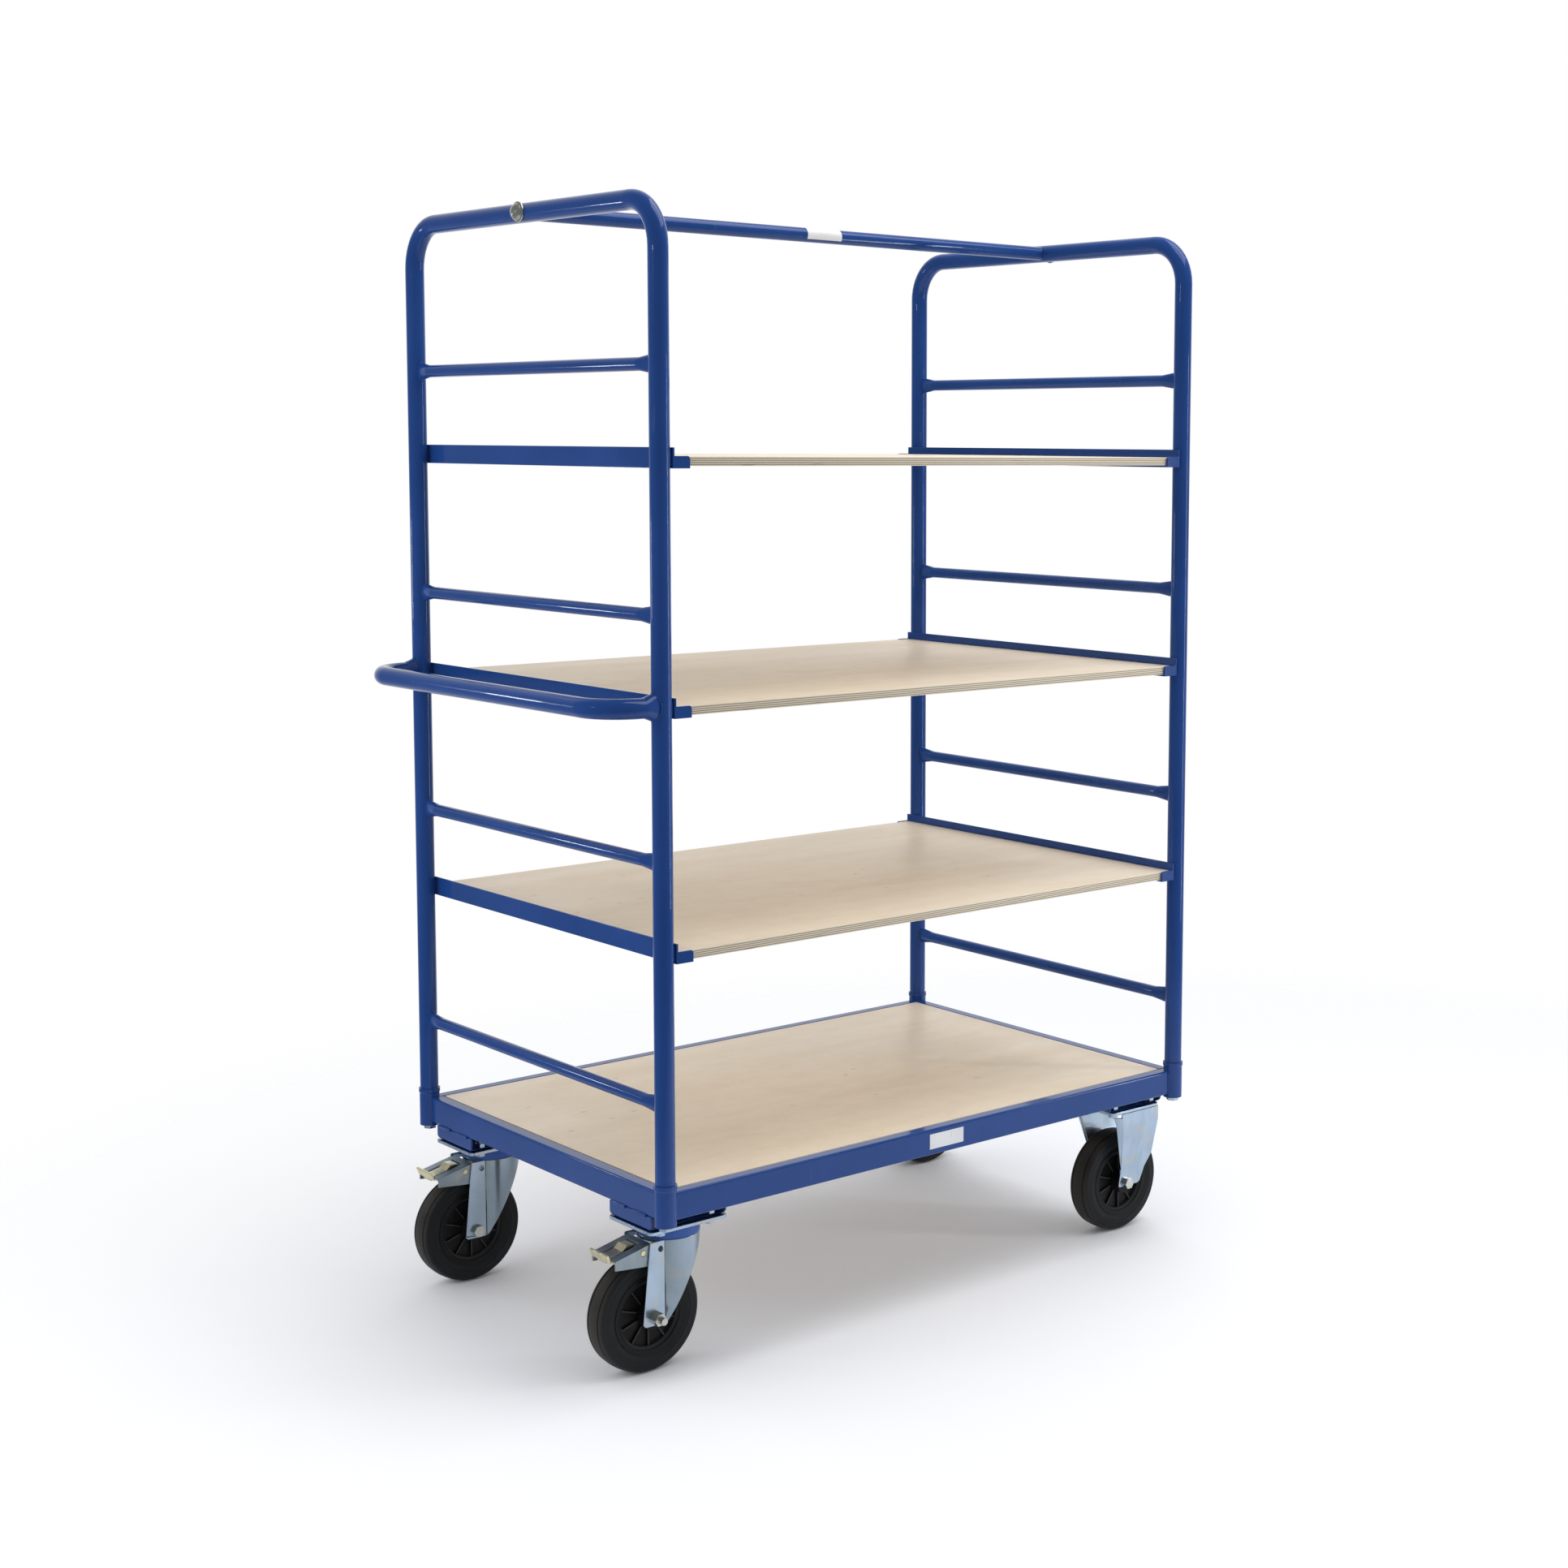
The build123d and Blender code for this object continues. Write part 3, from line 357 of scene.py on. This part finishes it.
def eased_copy(node, body, material, width):
    """A copy of a pressed or turned piece with its sharp edges broken, in the place of the sharp one."""
    mesh = nodes[node].data.copy()
    mesh.name = f"{node}_eased"
    form = bmesh.new()
    form.from_mesh(mesh)
    bmesh.ops.remove_doubles(form, verts=form.verts, dist=sliver)
    bmesh.ops.dissolve_limit(form, angle_limit=level_angle, verts=form.verts, edges=form.edges)
    solid = BVHTree.FromBMesh(form)
    form.to_mesh(mesh)
    form.free()
    for layer in ("custom_normal", "sharp_edge", "sharp_face"):
        if layer in mesh.attributes:
            mesh.attributes.remove(mesh.attributes[layer])
    piece = piece_of(mesh.name, mesh, material, body)
    easing = piece.modifiers.new("broken_edges", "BEVEL")
    easing.width = width
    easing.segments = 2
    easing.limit_method = "ANGLE"
    easing.angle_limit = sharp_angle
    easing.use_clamp_overlap = False
    easing.harden_normals = True

    # Points thrown off where edges meet at a sliver go back on to the solid
    eased = bpy.data.meshes.new_from_object(piece.evaluated_get(bpy.context.evaluated_depsgraph_get()))
    for point in eased.vertices:
        on_solid, _, _, reach = solid.find_nearest(point.co)
        if reach > width:
            point.co = on_solid
    piece.modifiers.clear()
    piece.data = eased
    bpy.data.meshes.remove(mesh)
    eased.name = piece.name
    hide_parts(node)


stitches = []
for end, side in corners:
    name = f"caster_bracket_{end}_{side}"
    eased_copy(name, "frame", blue_coat, bracket_ease)
    low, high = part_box(name)
    outer_x = high.x if end == "front" else low.x
    for y in (low.y + stitch_inset, high.y - stitch_inset - stitch_length):
        stitches.append(straight_run((outer_x, y, high.z), (outer_x, y + stitch_length, high.z)))
weld_beads("bracket_welds", stitches, stitch_r, closed=False)

# End frames: one length of round tube each, bent to an upside-down U and plugged into the sockets.
# Four thinner rungs are pressed flat at their ends and welded all round between the uprights.
rung_weld_r = 0.0013
rung_weld_half = (0.0059, 0.0129)
rung_pitch, rung_count = 0.322, 4
weld_points = 40


def uprights(end):
    """An end frame's tube radius, its place along the trolley, and its two uprights' places across it."""
    low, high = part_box(f"end_frame_{end}")
    tube_r = (high.x - low.x) / 2
    return tube_r, (low.x + high.x) / 2, (low.y + tube_r, high.y - tube_r)


def flattened_end(tube_r, half_size):
    """Points round a flattened tube end on a round upright: across, out and up from the upright's axis."""
    for i in range(weld_points):
        turn = 2 * pi * i / weld_points
        across = half_size[0] * cos(turn)
        yield across, sqrt(tube_r**2 - across**2), half_size[1] * sin(turn)


rung_loops = []
for end in ends:
    dress(blue_coat, f"end_frame_{end}", f"rungs_{end}")
    tube_r, upright_x, uprights_y = uprights(end)
    first_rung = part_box(f"rungs_{end}")[0].z + rung_weld_half[1]
    for inward, upright_y in zip((1, -1), uprights_y):
        for level in range(rung_count):
            rung_z = first_rung + level * rung_pitch
            rung_loops.append([
                (upright_x + across, upright_y + inward * out, rung_z + up)
                for across, out, up in flattened_end(tube_r, rung_weld_half)
            ])
weld_beads("rung_welds", rung_loops, rung_weld_r, closed=True)

# Shelf rails: steel angles welded across the inside of the uprights, their ends closed by small stop tabs.
# A short bead runs down each side of the line where the angle meets the round upright.
rail_ease = 0.0006
rail_weld_r = 0.0018
rail_weld_side = 0.0058
rail_weld_inset = 0.004

rail_runs = []
for end in ends:
    tube_r, upright_x, uprights_y = uprights(end)
    inward = -1 if end == "front" else 1
    weld_x = upright_x + inward * sqrt(tube_r**2 - rail_weld_side**2)
    for number in (1, 2, 3):
        name = f"shelf_rail_{end}_{number}"
        eased_copy(name, "frame", blue_coat, rail_ease)
        low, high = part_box(name)
        foot_z, head_z = low.z + rail_weld_inset, high.z - rail_weld_inset
        for upright_y in uprights_y:
            for y in (upright_y - rail_weld_side, upright_y + rail_weld_side):
                rail_runs.append(straight_run((weld_x, y, foot_z), (weld_x, y, head_z)))
weld_beads("shelf_rail_welds", rail_runs, rail_weld_r, closed=False)

# Push handle: a U of round steel tube across the rear end frame, under the same blue coat.
# Its two ends are pressed upright and welded all round to the rear uprights.
handle_weld_r = 0.0015
handle_weld_half = (0.01125, 0.0186)

dress(blue_coat, "push_handle")
tube_r, upright_x, uprights_y = uprights("rear")
handle_low, handle_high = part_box("push_handle")
handle_z = (handle_low.z + handle_high.z) / 2
handle_loops = [
    [
        (upright_x - out, upright_y + across, handle_z + up)
        for across, out, up in flattened_end(tube_r, handle_weld_half)
    ]
    for upright_y in uprights_y
]
weld_beads("handle_welds", handle_loops, handle_weld_r, closed=True)

# Top bar: a thinner tube between the two end frames, held by a dome-headed bolt at each end.
# The bolts, like the caster ironwork below, are zinc plated: a bright, a dull and a tinted tone for each.
bright_zinc = ((0.42, 0.52, 0.64, 1), (0.34, 0.435, 0.545, 1), (0.33, 0.41, 0.475, 1))
bolt_tones = ((0.66, 0.68, 0.64, 1), (0.54, 0.56, 0.53, 1), (0.5, 0.52, 0.46, 1))
# The third tone on the next line is painted shade, laid on the fork's skirt beside its crease.
zinc_stain, zinc_rub, zinc_crease_shade = (0.5, 0.475, 0.41, 1), (0.32, 0.32, 0.33, 1), (0.14, 0.16, 0.155, 1)
crease_blur, crease_shade_fade = 0.0005, 0.06
bolt_ease = 0.0005


def zinc_finish(name, bright, dull, tint, smooth=0.17, crease=None):
    """Electroplated zinc, clouded, stained and rubbed, with rolling marks; painted shade darkens it just past
    a crease.
    """
    plate, tree, shader = finish(name, Metallic=1.0)
    marks = worn(tree, patch_scale=30.0, grain_scale=1500.0, rub_scale=130.0)
    place = shader_node(tree, "TexCoord", {}).outputs["Object"]
    rolling = noise(tree, stretched(tree, place, (1.0, 1.0, 0.2)), 60.0)
    colour = blended(tree, spread(tree, rolling, 0.3, 0.7), dull, bright)
    colour = blended(tree, spread(tree, marks["Patches"], 0.3, 1.0, 0.0, 0.5), colour, tint)
    stain = noise(tree, place, 24.0, 4.0, Distortion=1.0)
    colour = blended(tree, spread(tree, stain, 0.54, 0.7, 0.0, 0.5), colour, zinc_stain)
    colour = rubbed(tree, marks, 0.5, colour, zinc_rub)
    # Painted shade: past the crease the colour goes darker, then fades out over a few centimetres.
    if crease is not None:
        along = shader_node(tree, "SeparateXYZ", {"Vector": place}).outputs["X"]
        past = spread(tree, along, crease - crease_blur, crease)
        fading = spread(tree, along, crease, crease + crease_shade_fade, 0.6, 0.05)
        colour = blended(tree, arithmetic(tree, "MULTIPLY", past, fading), colour, zinc_crease_shade)
    tree.links.new(colour, shader.inputs["Base Color"])
    rolled = spread(tree, rolling, 0.3, 0.75, smooth, smooth + 0.06)
    rough = arithmetic(tree, "MULTIPLY_ADD", marks["Patches"], 0.08, rolled)
    tree.links.new(rough, shader.inputs["Roughness"])
    bumped(tree, shader, marks["Grain"], strength=0.05, distance=0.0002)
    return plate


zinc = zinc_finish("bright_zinc", *bright_zinc)
bolt_zinc = zinc_finish("bolt_zinc", *bolt_tones, smooth=0.28)
dress(blue_coat, "top_bar")
eased_copy("top_bar_bolts", "frame", bolt_zinc, bolt_ease)

# Shelves: three loose boards of the deck's birch plywood, sawn to lie between the end frames.
# Each rests on a pair of angles, held in place by their stop tabs alone.
for name in ("lower", "middle", "upper"):
    plywood_board(f"{name}_shelf", f"{name}_shelf")

# Blank labels: two small stickers of pale film, stuck on over the blue coat.
# One is rolled round the top bar, and one lies flat on the right side rail.
label_size = (0.064, 0.022)
label_lift = 0.00025
label_cell = (0.004, 0.001)
bar_label_turn = radians(22)
bar_label_offset, rail_label_offset = 0.0223, 0.0043
rail_label_drop = 0.018
film_white, film_grey, film_dust = (0.76, 0.78, 0.8, 1), (0.7, 0.72, 0.74, 1), (0.45, 0.47, 0.52, 1)


def label_finish():
    """Matt white film, greyed in patches and dusty where it was rubbed."""
    film, tree, shader = finish("label_film", Coat_Weight=0.15)
    marks = worn(tree, patch_scale=30.0, grain_scale=2200.0, rub_scale=240.0)
    colour = blended(tree, marks["Patches"], film_white, film_grey)
    tree.links.new(rubbed(tree, marks, 0.6, colour, film_dust), shader.inputs["Base Color"])
    tree.links.new(spread(tree, marks["Grain"], 0.3, 0.7, 0.38, 0.5), shader.inputs["Roughness"])
    return film


def label_sheet(name, place_point):
    """A thin sheet laid on the frame; place_point turns a place on the sheet into one on the object."""
    columns, rows = (round(size / cell) for size, cell in zip(label_size, label_cell))
    form = bmesh.new()
    bmesh.ops.create_grid(form, x_segments=columns, y_segments=rows, size=0.5)
    for vert in form.verts:
        vert.co = place_point(vert.co.x * label_size[0], vert.co.y * label_size[1])
    bmesh.ops.recalc_face_normals(form, faces=form.faces)
    bmesh.ops.solidify(form, geom=form.faces[:], thickness=label_lift)
    bmesh.ops.recalc_face_normals(form, faces=form.faces)
    mesh = bpy.data.meshes.new(name)
    form.to_mesh(mesh)
    form.free()
    piece_of(name, mesh, label_film, "frame", 40)


label_film = label_finish()
bar_low, bar_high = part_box("top_bar")
bar_r = (bar_high.z - bar_low.z) / 2 + label_lift
bar_z = (bar_low.z + bar_high.z) / 2
middle_x = (bar_low.x + bar_high.x) / 2
label_sheet("bar_label", lambda u, v: (
    middle_x + bar_label_offset + u,
    -bar_r * cos(bar_label_turn + v / bar_r),
    bar_z + bar_r * sin(bar_label_turn + v / bar_r)))
rail_low, rail_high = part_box("side_rail_right")
rail_y, rail_label_z = rail_low.y - label_lift, rail_high.z - rail_label_drop
label_sheet("rail_label", lambda u, v: (middle_x + rail_label_offset + u, rail_y, rail_label_z + v))

# Swivel casters: a zinc plate bolted under the bracket, a kingpin, a blue plastic seal and a pressed fork.
# The brake is a sloping channel with a yellow-plated pedal that tips down on to the tyre.
plate_ease = 0.0009
fork_ease = 0.0012
pedal_ease = 0.0006
crease_back = 0.028
dull_tones = ((0.34, 0.4, 0.455, 1), (0.27, 0.325, 0.37, 1), (0.26, 0.31, 0.32, 1))
yellow_tones = ((0.78, 0.72, 0.47, 1), (0.6, 0.55, 0.36, 1), (0.56, 0.57, 0.42, 1))
seal_blue, seal_light, seal_dust = (0.03, 0.09, 0.36, 1), (0.04, 0.11, 0.4, 1), (0.074, 0.116, 0.29, 1)


def seal_finish():
    """Blue moulded plastic: a soft sheen broken by fine grain, dusty where it was rubbed."""
    plastic, tree, shader = finish("seal_plastic", Specular_IOR_Level=0.3)
    marks = worn(tree, patch_scale=26.0, grain_scale=1700.0, rub_scale=170.0)
    colour = blended(tree, marks["Patches"], seal_blue, seal_light)
    tree.links.new(rubbed(tree, marks, 0.45, colour, seal_dust), shader.inputs["Base Color"])
    tree.links.new(spread(tree, marks["Patches"], 0.0, 1.0, 0.32, 0.44), shader.inputs["Roughness"])
    bumped(tree, shader, marks["Grain"], strength=0.08, distance=0.0003)
    return plastic


kingpin_low, kingpin_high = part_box("kingpin_rear_right")
skirt_crease = (kingpin_low.x + kingpin_high.x) / 2 - crease_back
# The fork's finish carries painted shade on the skirt just past its crease.
fork_zinc = zinc_finish("fork_zinc", *bright_zinc, crease=skirt_crease)
dull_zinc = zinc_finish("dull_zinc", *dull_tones, smooth=0.34)
yellow_zinc = zinc_finish("yellow_zinc", *yellow_tones)
seal_plastic = seal_finish()
for side in sides:
    swivel, brake = f"swivel_{side}", f"brake_{side}"
    eased_copy(f"swivel_plate_rear_{side}", "frame", zinc, plate_ease)
    eased_copy(f"kingpin_rear_{side}", "frame", zinc, pedal_ease)
    eased_copy(f"swivel_seal_rear_{side}", swivel, seal_plastic, fork_ease)
    eased_copy(f"swivel_fork_rear_{side}", swivel, fork_zinc, fork_ease)
    eased_copy(f"brake_housing_rear_{side}", swivel, dull_zinc, plate_ease)
    eased_copy(f"brake_pedal_rear_{side}", brake, yellow_zinc, pedal_ease)

# Fixed casters: plate and splayed legs pressed in one from zinc-plated sheet, bolted under the brackets.
# A strip is folded in along each leg, and the wheel runs between the legs.
for side in sides:
    eased_copy(f"fixed_fork_front_{side}", "frame", zinc, plate_ease)

# Wheels: black ribbed plastic rims, each under a solid rubber tyre with two grooves along its tread.
# The tread is greyed with floor dust; the side wall has a step by the rim and a raised ring.
tyre_turns = 128
tyre_ring_r, tyre_ring_w, tyre_ring_h = 0.066, 0.004, 0.0006
tyre_lip_depth = 0.002
tyre_step_w, tyre_step_slope, tyre_step_depth = 0.0046, 0.001, 0.0013
shoulder_r, shoulder_drop, shoulder_stop, shoulder_parts = 0.0065, 0.001, 0.12, 8
groove_size, groove_shift = 0.0015, 0.0002
crown_rise, crown_parts = 0.0008, 6
tread_band = (0.005, 0.0015)
wall_dark, wall_light = (0.0062, 0.0072, 0.009, 1), (0.0105, 0.0118, 0.0142, 1)
tread_dust = (0.036, 0.033, 0.029, 1)
# The rib and ring greys below are painted highlight on the black rim.
rim_dark, rim_light = (0.0045, 0.0045, 0.005, 1), (0.008, 0.008, 0.0085, 1)
rim_rib, rim_rib_reach, rib_highlight_grey = (0.0124, 0.0134), (0.019, 0.043), (0.042, 0.042, 0.041, 1)
rim_ring, ring_highlight_grey = (0.0433, 0.0468), (0.024, 0.026, 0.03, 1)


def wheel_places(tree, centre):
    """How far a place on a wheel lies from the axle's line, and how far along it from the wheel's middle."""
    axes = shader_node(tree, "SeparateXYZ", {"Vector": measured_from(tree, centre)}).outputs
    across = shader_node(tree, "CombineXYZ", {"X": axes["X"], "Z": axes["Z"]}).outputs["Vector"]
    radius = shader_node(tree, "VectorMath", {0: across}, operation="LENGTH").outputs["Value"]
    return radius, axes["Y"]


def band(tree, value, limits, blur):
    """A mask of where a value lies between two limits, blurred past each of them."""
    low, high = limits
    above = spread(tree, value, low, low + blur)
    return arithmetic(tree, "MULTIPLY", above, spread(tree, value, high, high + blur, 1.0, 0.0))


def tyre_finish(name, centre, outer_r):
    """Black rubber, dusty brown-grey on the tread and faintly clouded on the walls."""
    rubber, tree, shader = finish(name, Specular_IOR_Level=0.25)
    marks = worn(tree, patch_scale=34.0, grain_scale=1300.0, rub_scale=120.0)
    radius, _ = wheel_places(tree, centre)
    tread = spread(tree, radius, outer_r - tread_band[0], outer_r - tread_band[1])
    dust = arithmetic(tree, "MULTIPLY", tread, spread(tree, marks["Patches"], 0.0, 1.0, 0.45, 0.9))
    wall = blended(tree, marks["Patches"], wall_dark, wall_light)
    tree.links.new(blended(tree, dust, wall, tread_dust), shader.inputs["Base Color"])
    tree.links.new(spread(tree, marks["Patches"], 0.0, 1.0, 0.5, 0.66), shader.inputs["Roughness"])
    bumped(tree, shader, marks["Grain"], strength=0.15, distance=0.0004)
    return rubber


def rim_finish(name, centre):
    """Black moulded plastic, with a painted highlight making the outer edges of the ribs and a band round
    them paler.
    """
    plastic, tree, shader = finish(name, Specular_IOR_Level=0.2)
    marks = worn(tree, patch_scale=26.0, grain_scale=1700.0, rub_scale=170.0)
    radius, along = wheel_places(tree, centre)
    colour = blended(tree, marks["Patches"], rim_dark, rim_light)
    rib_face = band(tree, arithmetic(tree, "ABSOLUTE", along), rim_rib, blur=0.0003)
    lit_rib_mask = arithmetic(tree, "MULTIPLY", rib_face, band(tree, radius, rim_rib_reach, blur=0.001))
    # Painted highlight: the ribs' outer edges and a band round them are made paler.
    colour = blended(tree, lit_rib_mask, colour, rib_highlight_grey)
    colour = blended(tree, band(tree, radius, rim_ring, blur=0.0004), colour, ring_highlight_grey)
    tree.links.new(colour, shader.inputs["Base Color"])
    tree.links.new(spread(tree, marks["Patches"], 0.0, 1.0, 0.42, 0.55), shader.inputs["Roughness"])
    bumped(tree, shader, marks["Grain"], strength=0.06, distance=0.0003)
    return plastic


def arc_points(centre, radius, start, stop, parts):
    """Points along an arc in the tyre's half section."""
    for i in range(parts + 1):
        turn = start + (stop - start) * i / parts
        yield centre[0] + radius * cos(turn), centre[1] + radius * sin(turn)


def tyre_half_section(outer_r, half_w, seat_r):
    """Half of the tyre's section, from the rim seat to the middle of the tread, as (radius, side) points."""
    ring_in = tyre_ring_r - tyre_ring_w / 2
    ring_out = tyre_ring_r + tyre_ring_w / 2
    points = [
        (seat_r, half_w - tyre_lip_depth),
        (seat_r + tyre_step_slope, half_w - tyre_step_depth),
        (seat_r + tyre_step_w - tyre_step_slope, half_w - tyre_step_depth),
        (seat_r + tyre_step_w, half_w - tyre_ring_h),
        (ring_in, half_w - tyre_ring_h),
        (ring_in + tyre_ring_h, half_w),
        (ring_out - tyre_ring_h, half_w),
        (ring_out, half_w - tyre_ring_h / 2),
    ]
    shoulder_top = outer_r - shoulder_drop
    shoulder = (shoulder_top - shoulder_r, half_w - shoulder_r)
    points += arc_points(shoulder, shoulder_r, pi / 2, shoulder_stop, shoulder_parts)
    groove_y = half_w - shoulder_r + groove_shift
    points += [
        (shoulder_top - groove_size, groove_y - groove_size / 2),
        (shoulder_top - groove_size, groove_y - 3 * groove_size / 2),
    ]
    crown_w = groove_y - 2 * groove_size
    for i in range(crown_parts + 1):
        side_y = crown_w * (1 - i / crown_parts)
        points.append((outer_r - crown_rise * (side_y / crown_w) ** 2, side_y))
    return points


for end, side in corners:
    name, wheel = f"tyre_{end}_{side}", f"wheel_{end}_{side}"
    low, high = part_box(name)
    centre = (low + high) / 2
    outer_r = (high.z - low.z) / 2
    rim_low, rim_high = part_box(f"rim_{end}_{side}")
    seat_r = (rim_high.z - rim_low.z) / 2
    half = tyre_half_section(outer_r, (high.y - low.y) / 2, seat_r)
    section = half + [(r, -y) for r, y in reversed(half[:-1])]
    form = bmesh.new()
    verts = [form.verts.new((centre.x, centre.y + y, centre.z + r)) for r, y in section]
    edges = [form.edges.new(pair) for pair in zip(verts, verts[1:] + verts[:1])]
    bmesh.ops.spin(
        form, geom=verts + edges, cent=centre, axis=(0, 1, 0), angle=2 * pi, steps=tyre_turns, use_merge=True
    )
    bmesh.ops.remove_doubles(form, verts=form.verts, dist=1e-6)
    bmesh.ops.recalc_face_normals(form, faces=form.faces)
    mesh = bpy.data.meshes.new(f"{name}_rubber")
    form.to_mesh(mesh)
    form.free()
    rubber = tyre_finish(f"{name}_finish", centre, outer_r)
    tyre = piece_of(f"{name}_rubber", mesh, rubber, wheel, 38)
    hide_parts(name)
    dress(rim_finish(f"rim_{end}_{side}_finish", centre), f"rim_{end}_{side}")

# Axles and bolts: zinc-plated hexagon heads and nuts, with the threaded ends left standing out.
# The axles carry the wheels in their forks; the bolts hold the casters and the plugged end frames.
for end, side in corners:
    carrier = f"swivel_{side}" if end == "rear" else "frame"
    eased_copy(f"axle_{end}_{side}", carrier, bolt_zinc, bolt_ease)
for name in ("socket_bolts", "caster_bolts"):
    eased_copy(name, "frame", zinc, bolt_ease)

# Studio: a pale paper floor that fades into the surround, which is white behind the trolley and a dim grey
# on the room's side, so that the tubes and the plated steel have something to mirror.
# A broad soft lamp hangs above on the right, a weaker one lights the handle end and three give glints.
floor_half = 2.6
floor_centre = (0.4, -0.3, 0.0)
floor_fade = (1.0, 2.1)
floor_tones = ((0.905, 0.925, 0.968, 1), (0.92, 0.938, 0.976, 1))
backdrop_side = (0.67, 0.735, 0.1)
room_level = 0.2
soft_level = (0.45, 1.0)


def studio_floor():
    """A broad pale floor that takes the trolley's soft shadow."""
    paper, tree, shader = finish("studio_floor", Roughness=0.9)
    place = shader_node(tree, "TexCoord", {}).outputs["Object"]
    tree.links.new(blended(tree, noise(tree, place, 1.3), *floor_tones), shader.inputs["Base Color"])
    away = shader_node(tree, "VectorMath", {0: place, 1: floor_centre}, operation="DISTANCE").outputs["Value"]
    tree.links.new(spread(tree, away, *floor_fade, 1.0, 0.0), shader.inputs["Alpha"])
    form = bmesh.new()
    bmesh.ops.create_grid(form, x_segments=8, y_segments=8, size=floor_half)
    mesh = bpy.data.meshes.new("studio_floor")
    form.to_mesh(mesh)
    form.free()
    mesh.materials.append(paper)
    floor = bpy.data.objects.new("studio_floor", mesh)
    bpy.context.collection.objects.link(floor)


def studio_world():
    """The surround: white to the camera, darker on the room's side in reflections and in its soft light."""
    world = bpy.data.worlds.new("studio")
    bpy.context.scene.world = world
    world.use_nodes = True
    tree = world.node_tree
    rays = shader_node(tree, "LightPath", {}).outputs
    seen = arithmetic(tree, "MAXIMUM", rays["Is Camera Ray"], rays["Is Glossy Ray"])
    seen = arithmetic(tree, "MAXIMUM", seen, rays["Is Transmission Ray"])
    background = tree.nodes["Background"]
    background.inputs["Color"].default_value = (1.0, 1.0, 1.0, 1)
    towards = {0: shader_node(tree, "TexCoord", {}).outputs["Generated"], 1: backdrop_side}
    facing = shader_node(tree, "VectorMath", towards, operation="DOT_PRODUCT").outputs["Value"]
    mirrored = spread(tree, facing, 0.3, 0.85, room_level, 1.0)
    shown = arithmetic(tree, "MAXIMUM", mirrored, rays["Is Camera Ray"])
    soft = spread(tree, facing, -0.6, 0.4, *soft_level)
    tree.links.new(spread(tree, seen, 0.0, 1.0, soft, shown), background.inputs["Strength"])


def studio_lamp(name, place, target, size, power, mirrored=True):
    """A soft lamp, width by height, turned towards a place on the trolley; coats may mirror it or not."""
    light = bpy.data.lights.new(name, "AREA")
    light.shape = "RECTANGLE"
    light.size, light.size_y = size
    light.energy = power
    lamp = bpy.data.objects.new(name, light)
    turn = (Vector(place) - Vector(target)).to_track_quat("Z", "Y").to_matrix().to_4x4()
    lamp.matrix_world = Matrix.Translation(place) @ turn
    lamp.visible_camera = False
    lamp.visible_glossy = mirrored
    bpy.context.collection.objects.link(lamp)


studio_floor()
studio_world()
studio_lamp("overhead_lamp", (0.8, -0.8, 3.3), (0.1, 0.0, 0.6), size=(2.0, 2.0), power=43.0)
studio_lamp("left_box", (-1.7, 0.2, 1.0), (-0.4, 0.0, 0.9), size=(1.2, 1.2), power=8.0, mirrored=False)
studio_lamp("left_glint", (-1.65, 1.74, 0.96), (-0.45, 0.1, 0.9), size=(0.12, 0.22), power=1.7)
studio_lamp("left_spot", (-2.4, -0.25, 1.665), (-0.45, -0.3, 1.5), size=(0.25, 0.05), power=0.7)
studio_lamp("right_strip", (1.7, -1.65, 0.8), (-0.4, -0.3, 0.8), size=(0.1, 1.3), power=8.0)

# Camera: just above the height of the upper shelf, off the handle corner on the trolley's right side.
# Its lens is shifted sideways and down, as in a studio view, to frame the whole trolley.
eye_back, eye_side, eye_drop = 1.7141, 2.8717, 0.31995
camera_forward = Vector((0.67144, 0.73420, -0.10055))
camera_right = Vector((0.73841, -0.67431, 0.00718))
sensor_width, focal_length = 36.0, 54.585
lens_shift = (-0.15, -0.0642)

rear_low, rear_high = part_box("end_frame_rear")
rear_x = (rear_low.x + rear_high.x) / 2
camera_place = Vector((rear_x - eye_back, -eye_side, rear_high.z - eye_drop))
camera_up = camera_right.cross(camera_forward)
view_camera = bpy.data.cameras.new("view_camera")
view_camera.sensor_width = sensor_width
view_camera.lens = focal_length
view_camera.shift_x, view_camera.shift_y = lens_shift
camera = bpy.data.objects.new("view_camera", view_camera)
camera_axes = Matrix((camera_right, camera_up, -camera_forward)).transposed()
camera.matrix_world = Matrix.Translation(camera_place) @ camera_axes.to_4x4()
bpy.context.collection.objects.link(camera)
bpy.context.scene.camera = camera
bpy.context.scene.view_settings.view_transform = "Standard"
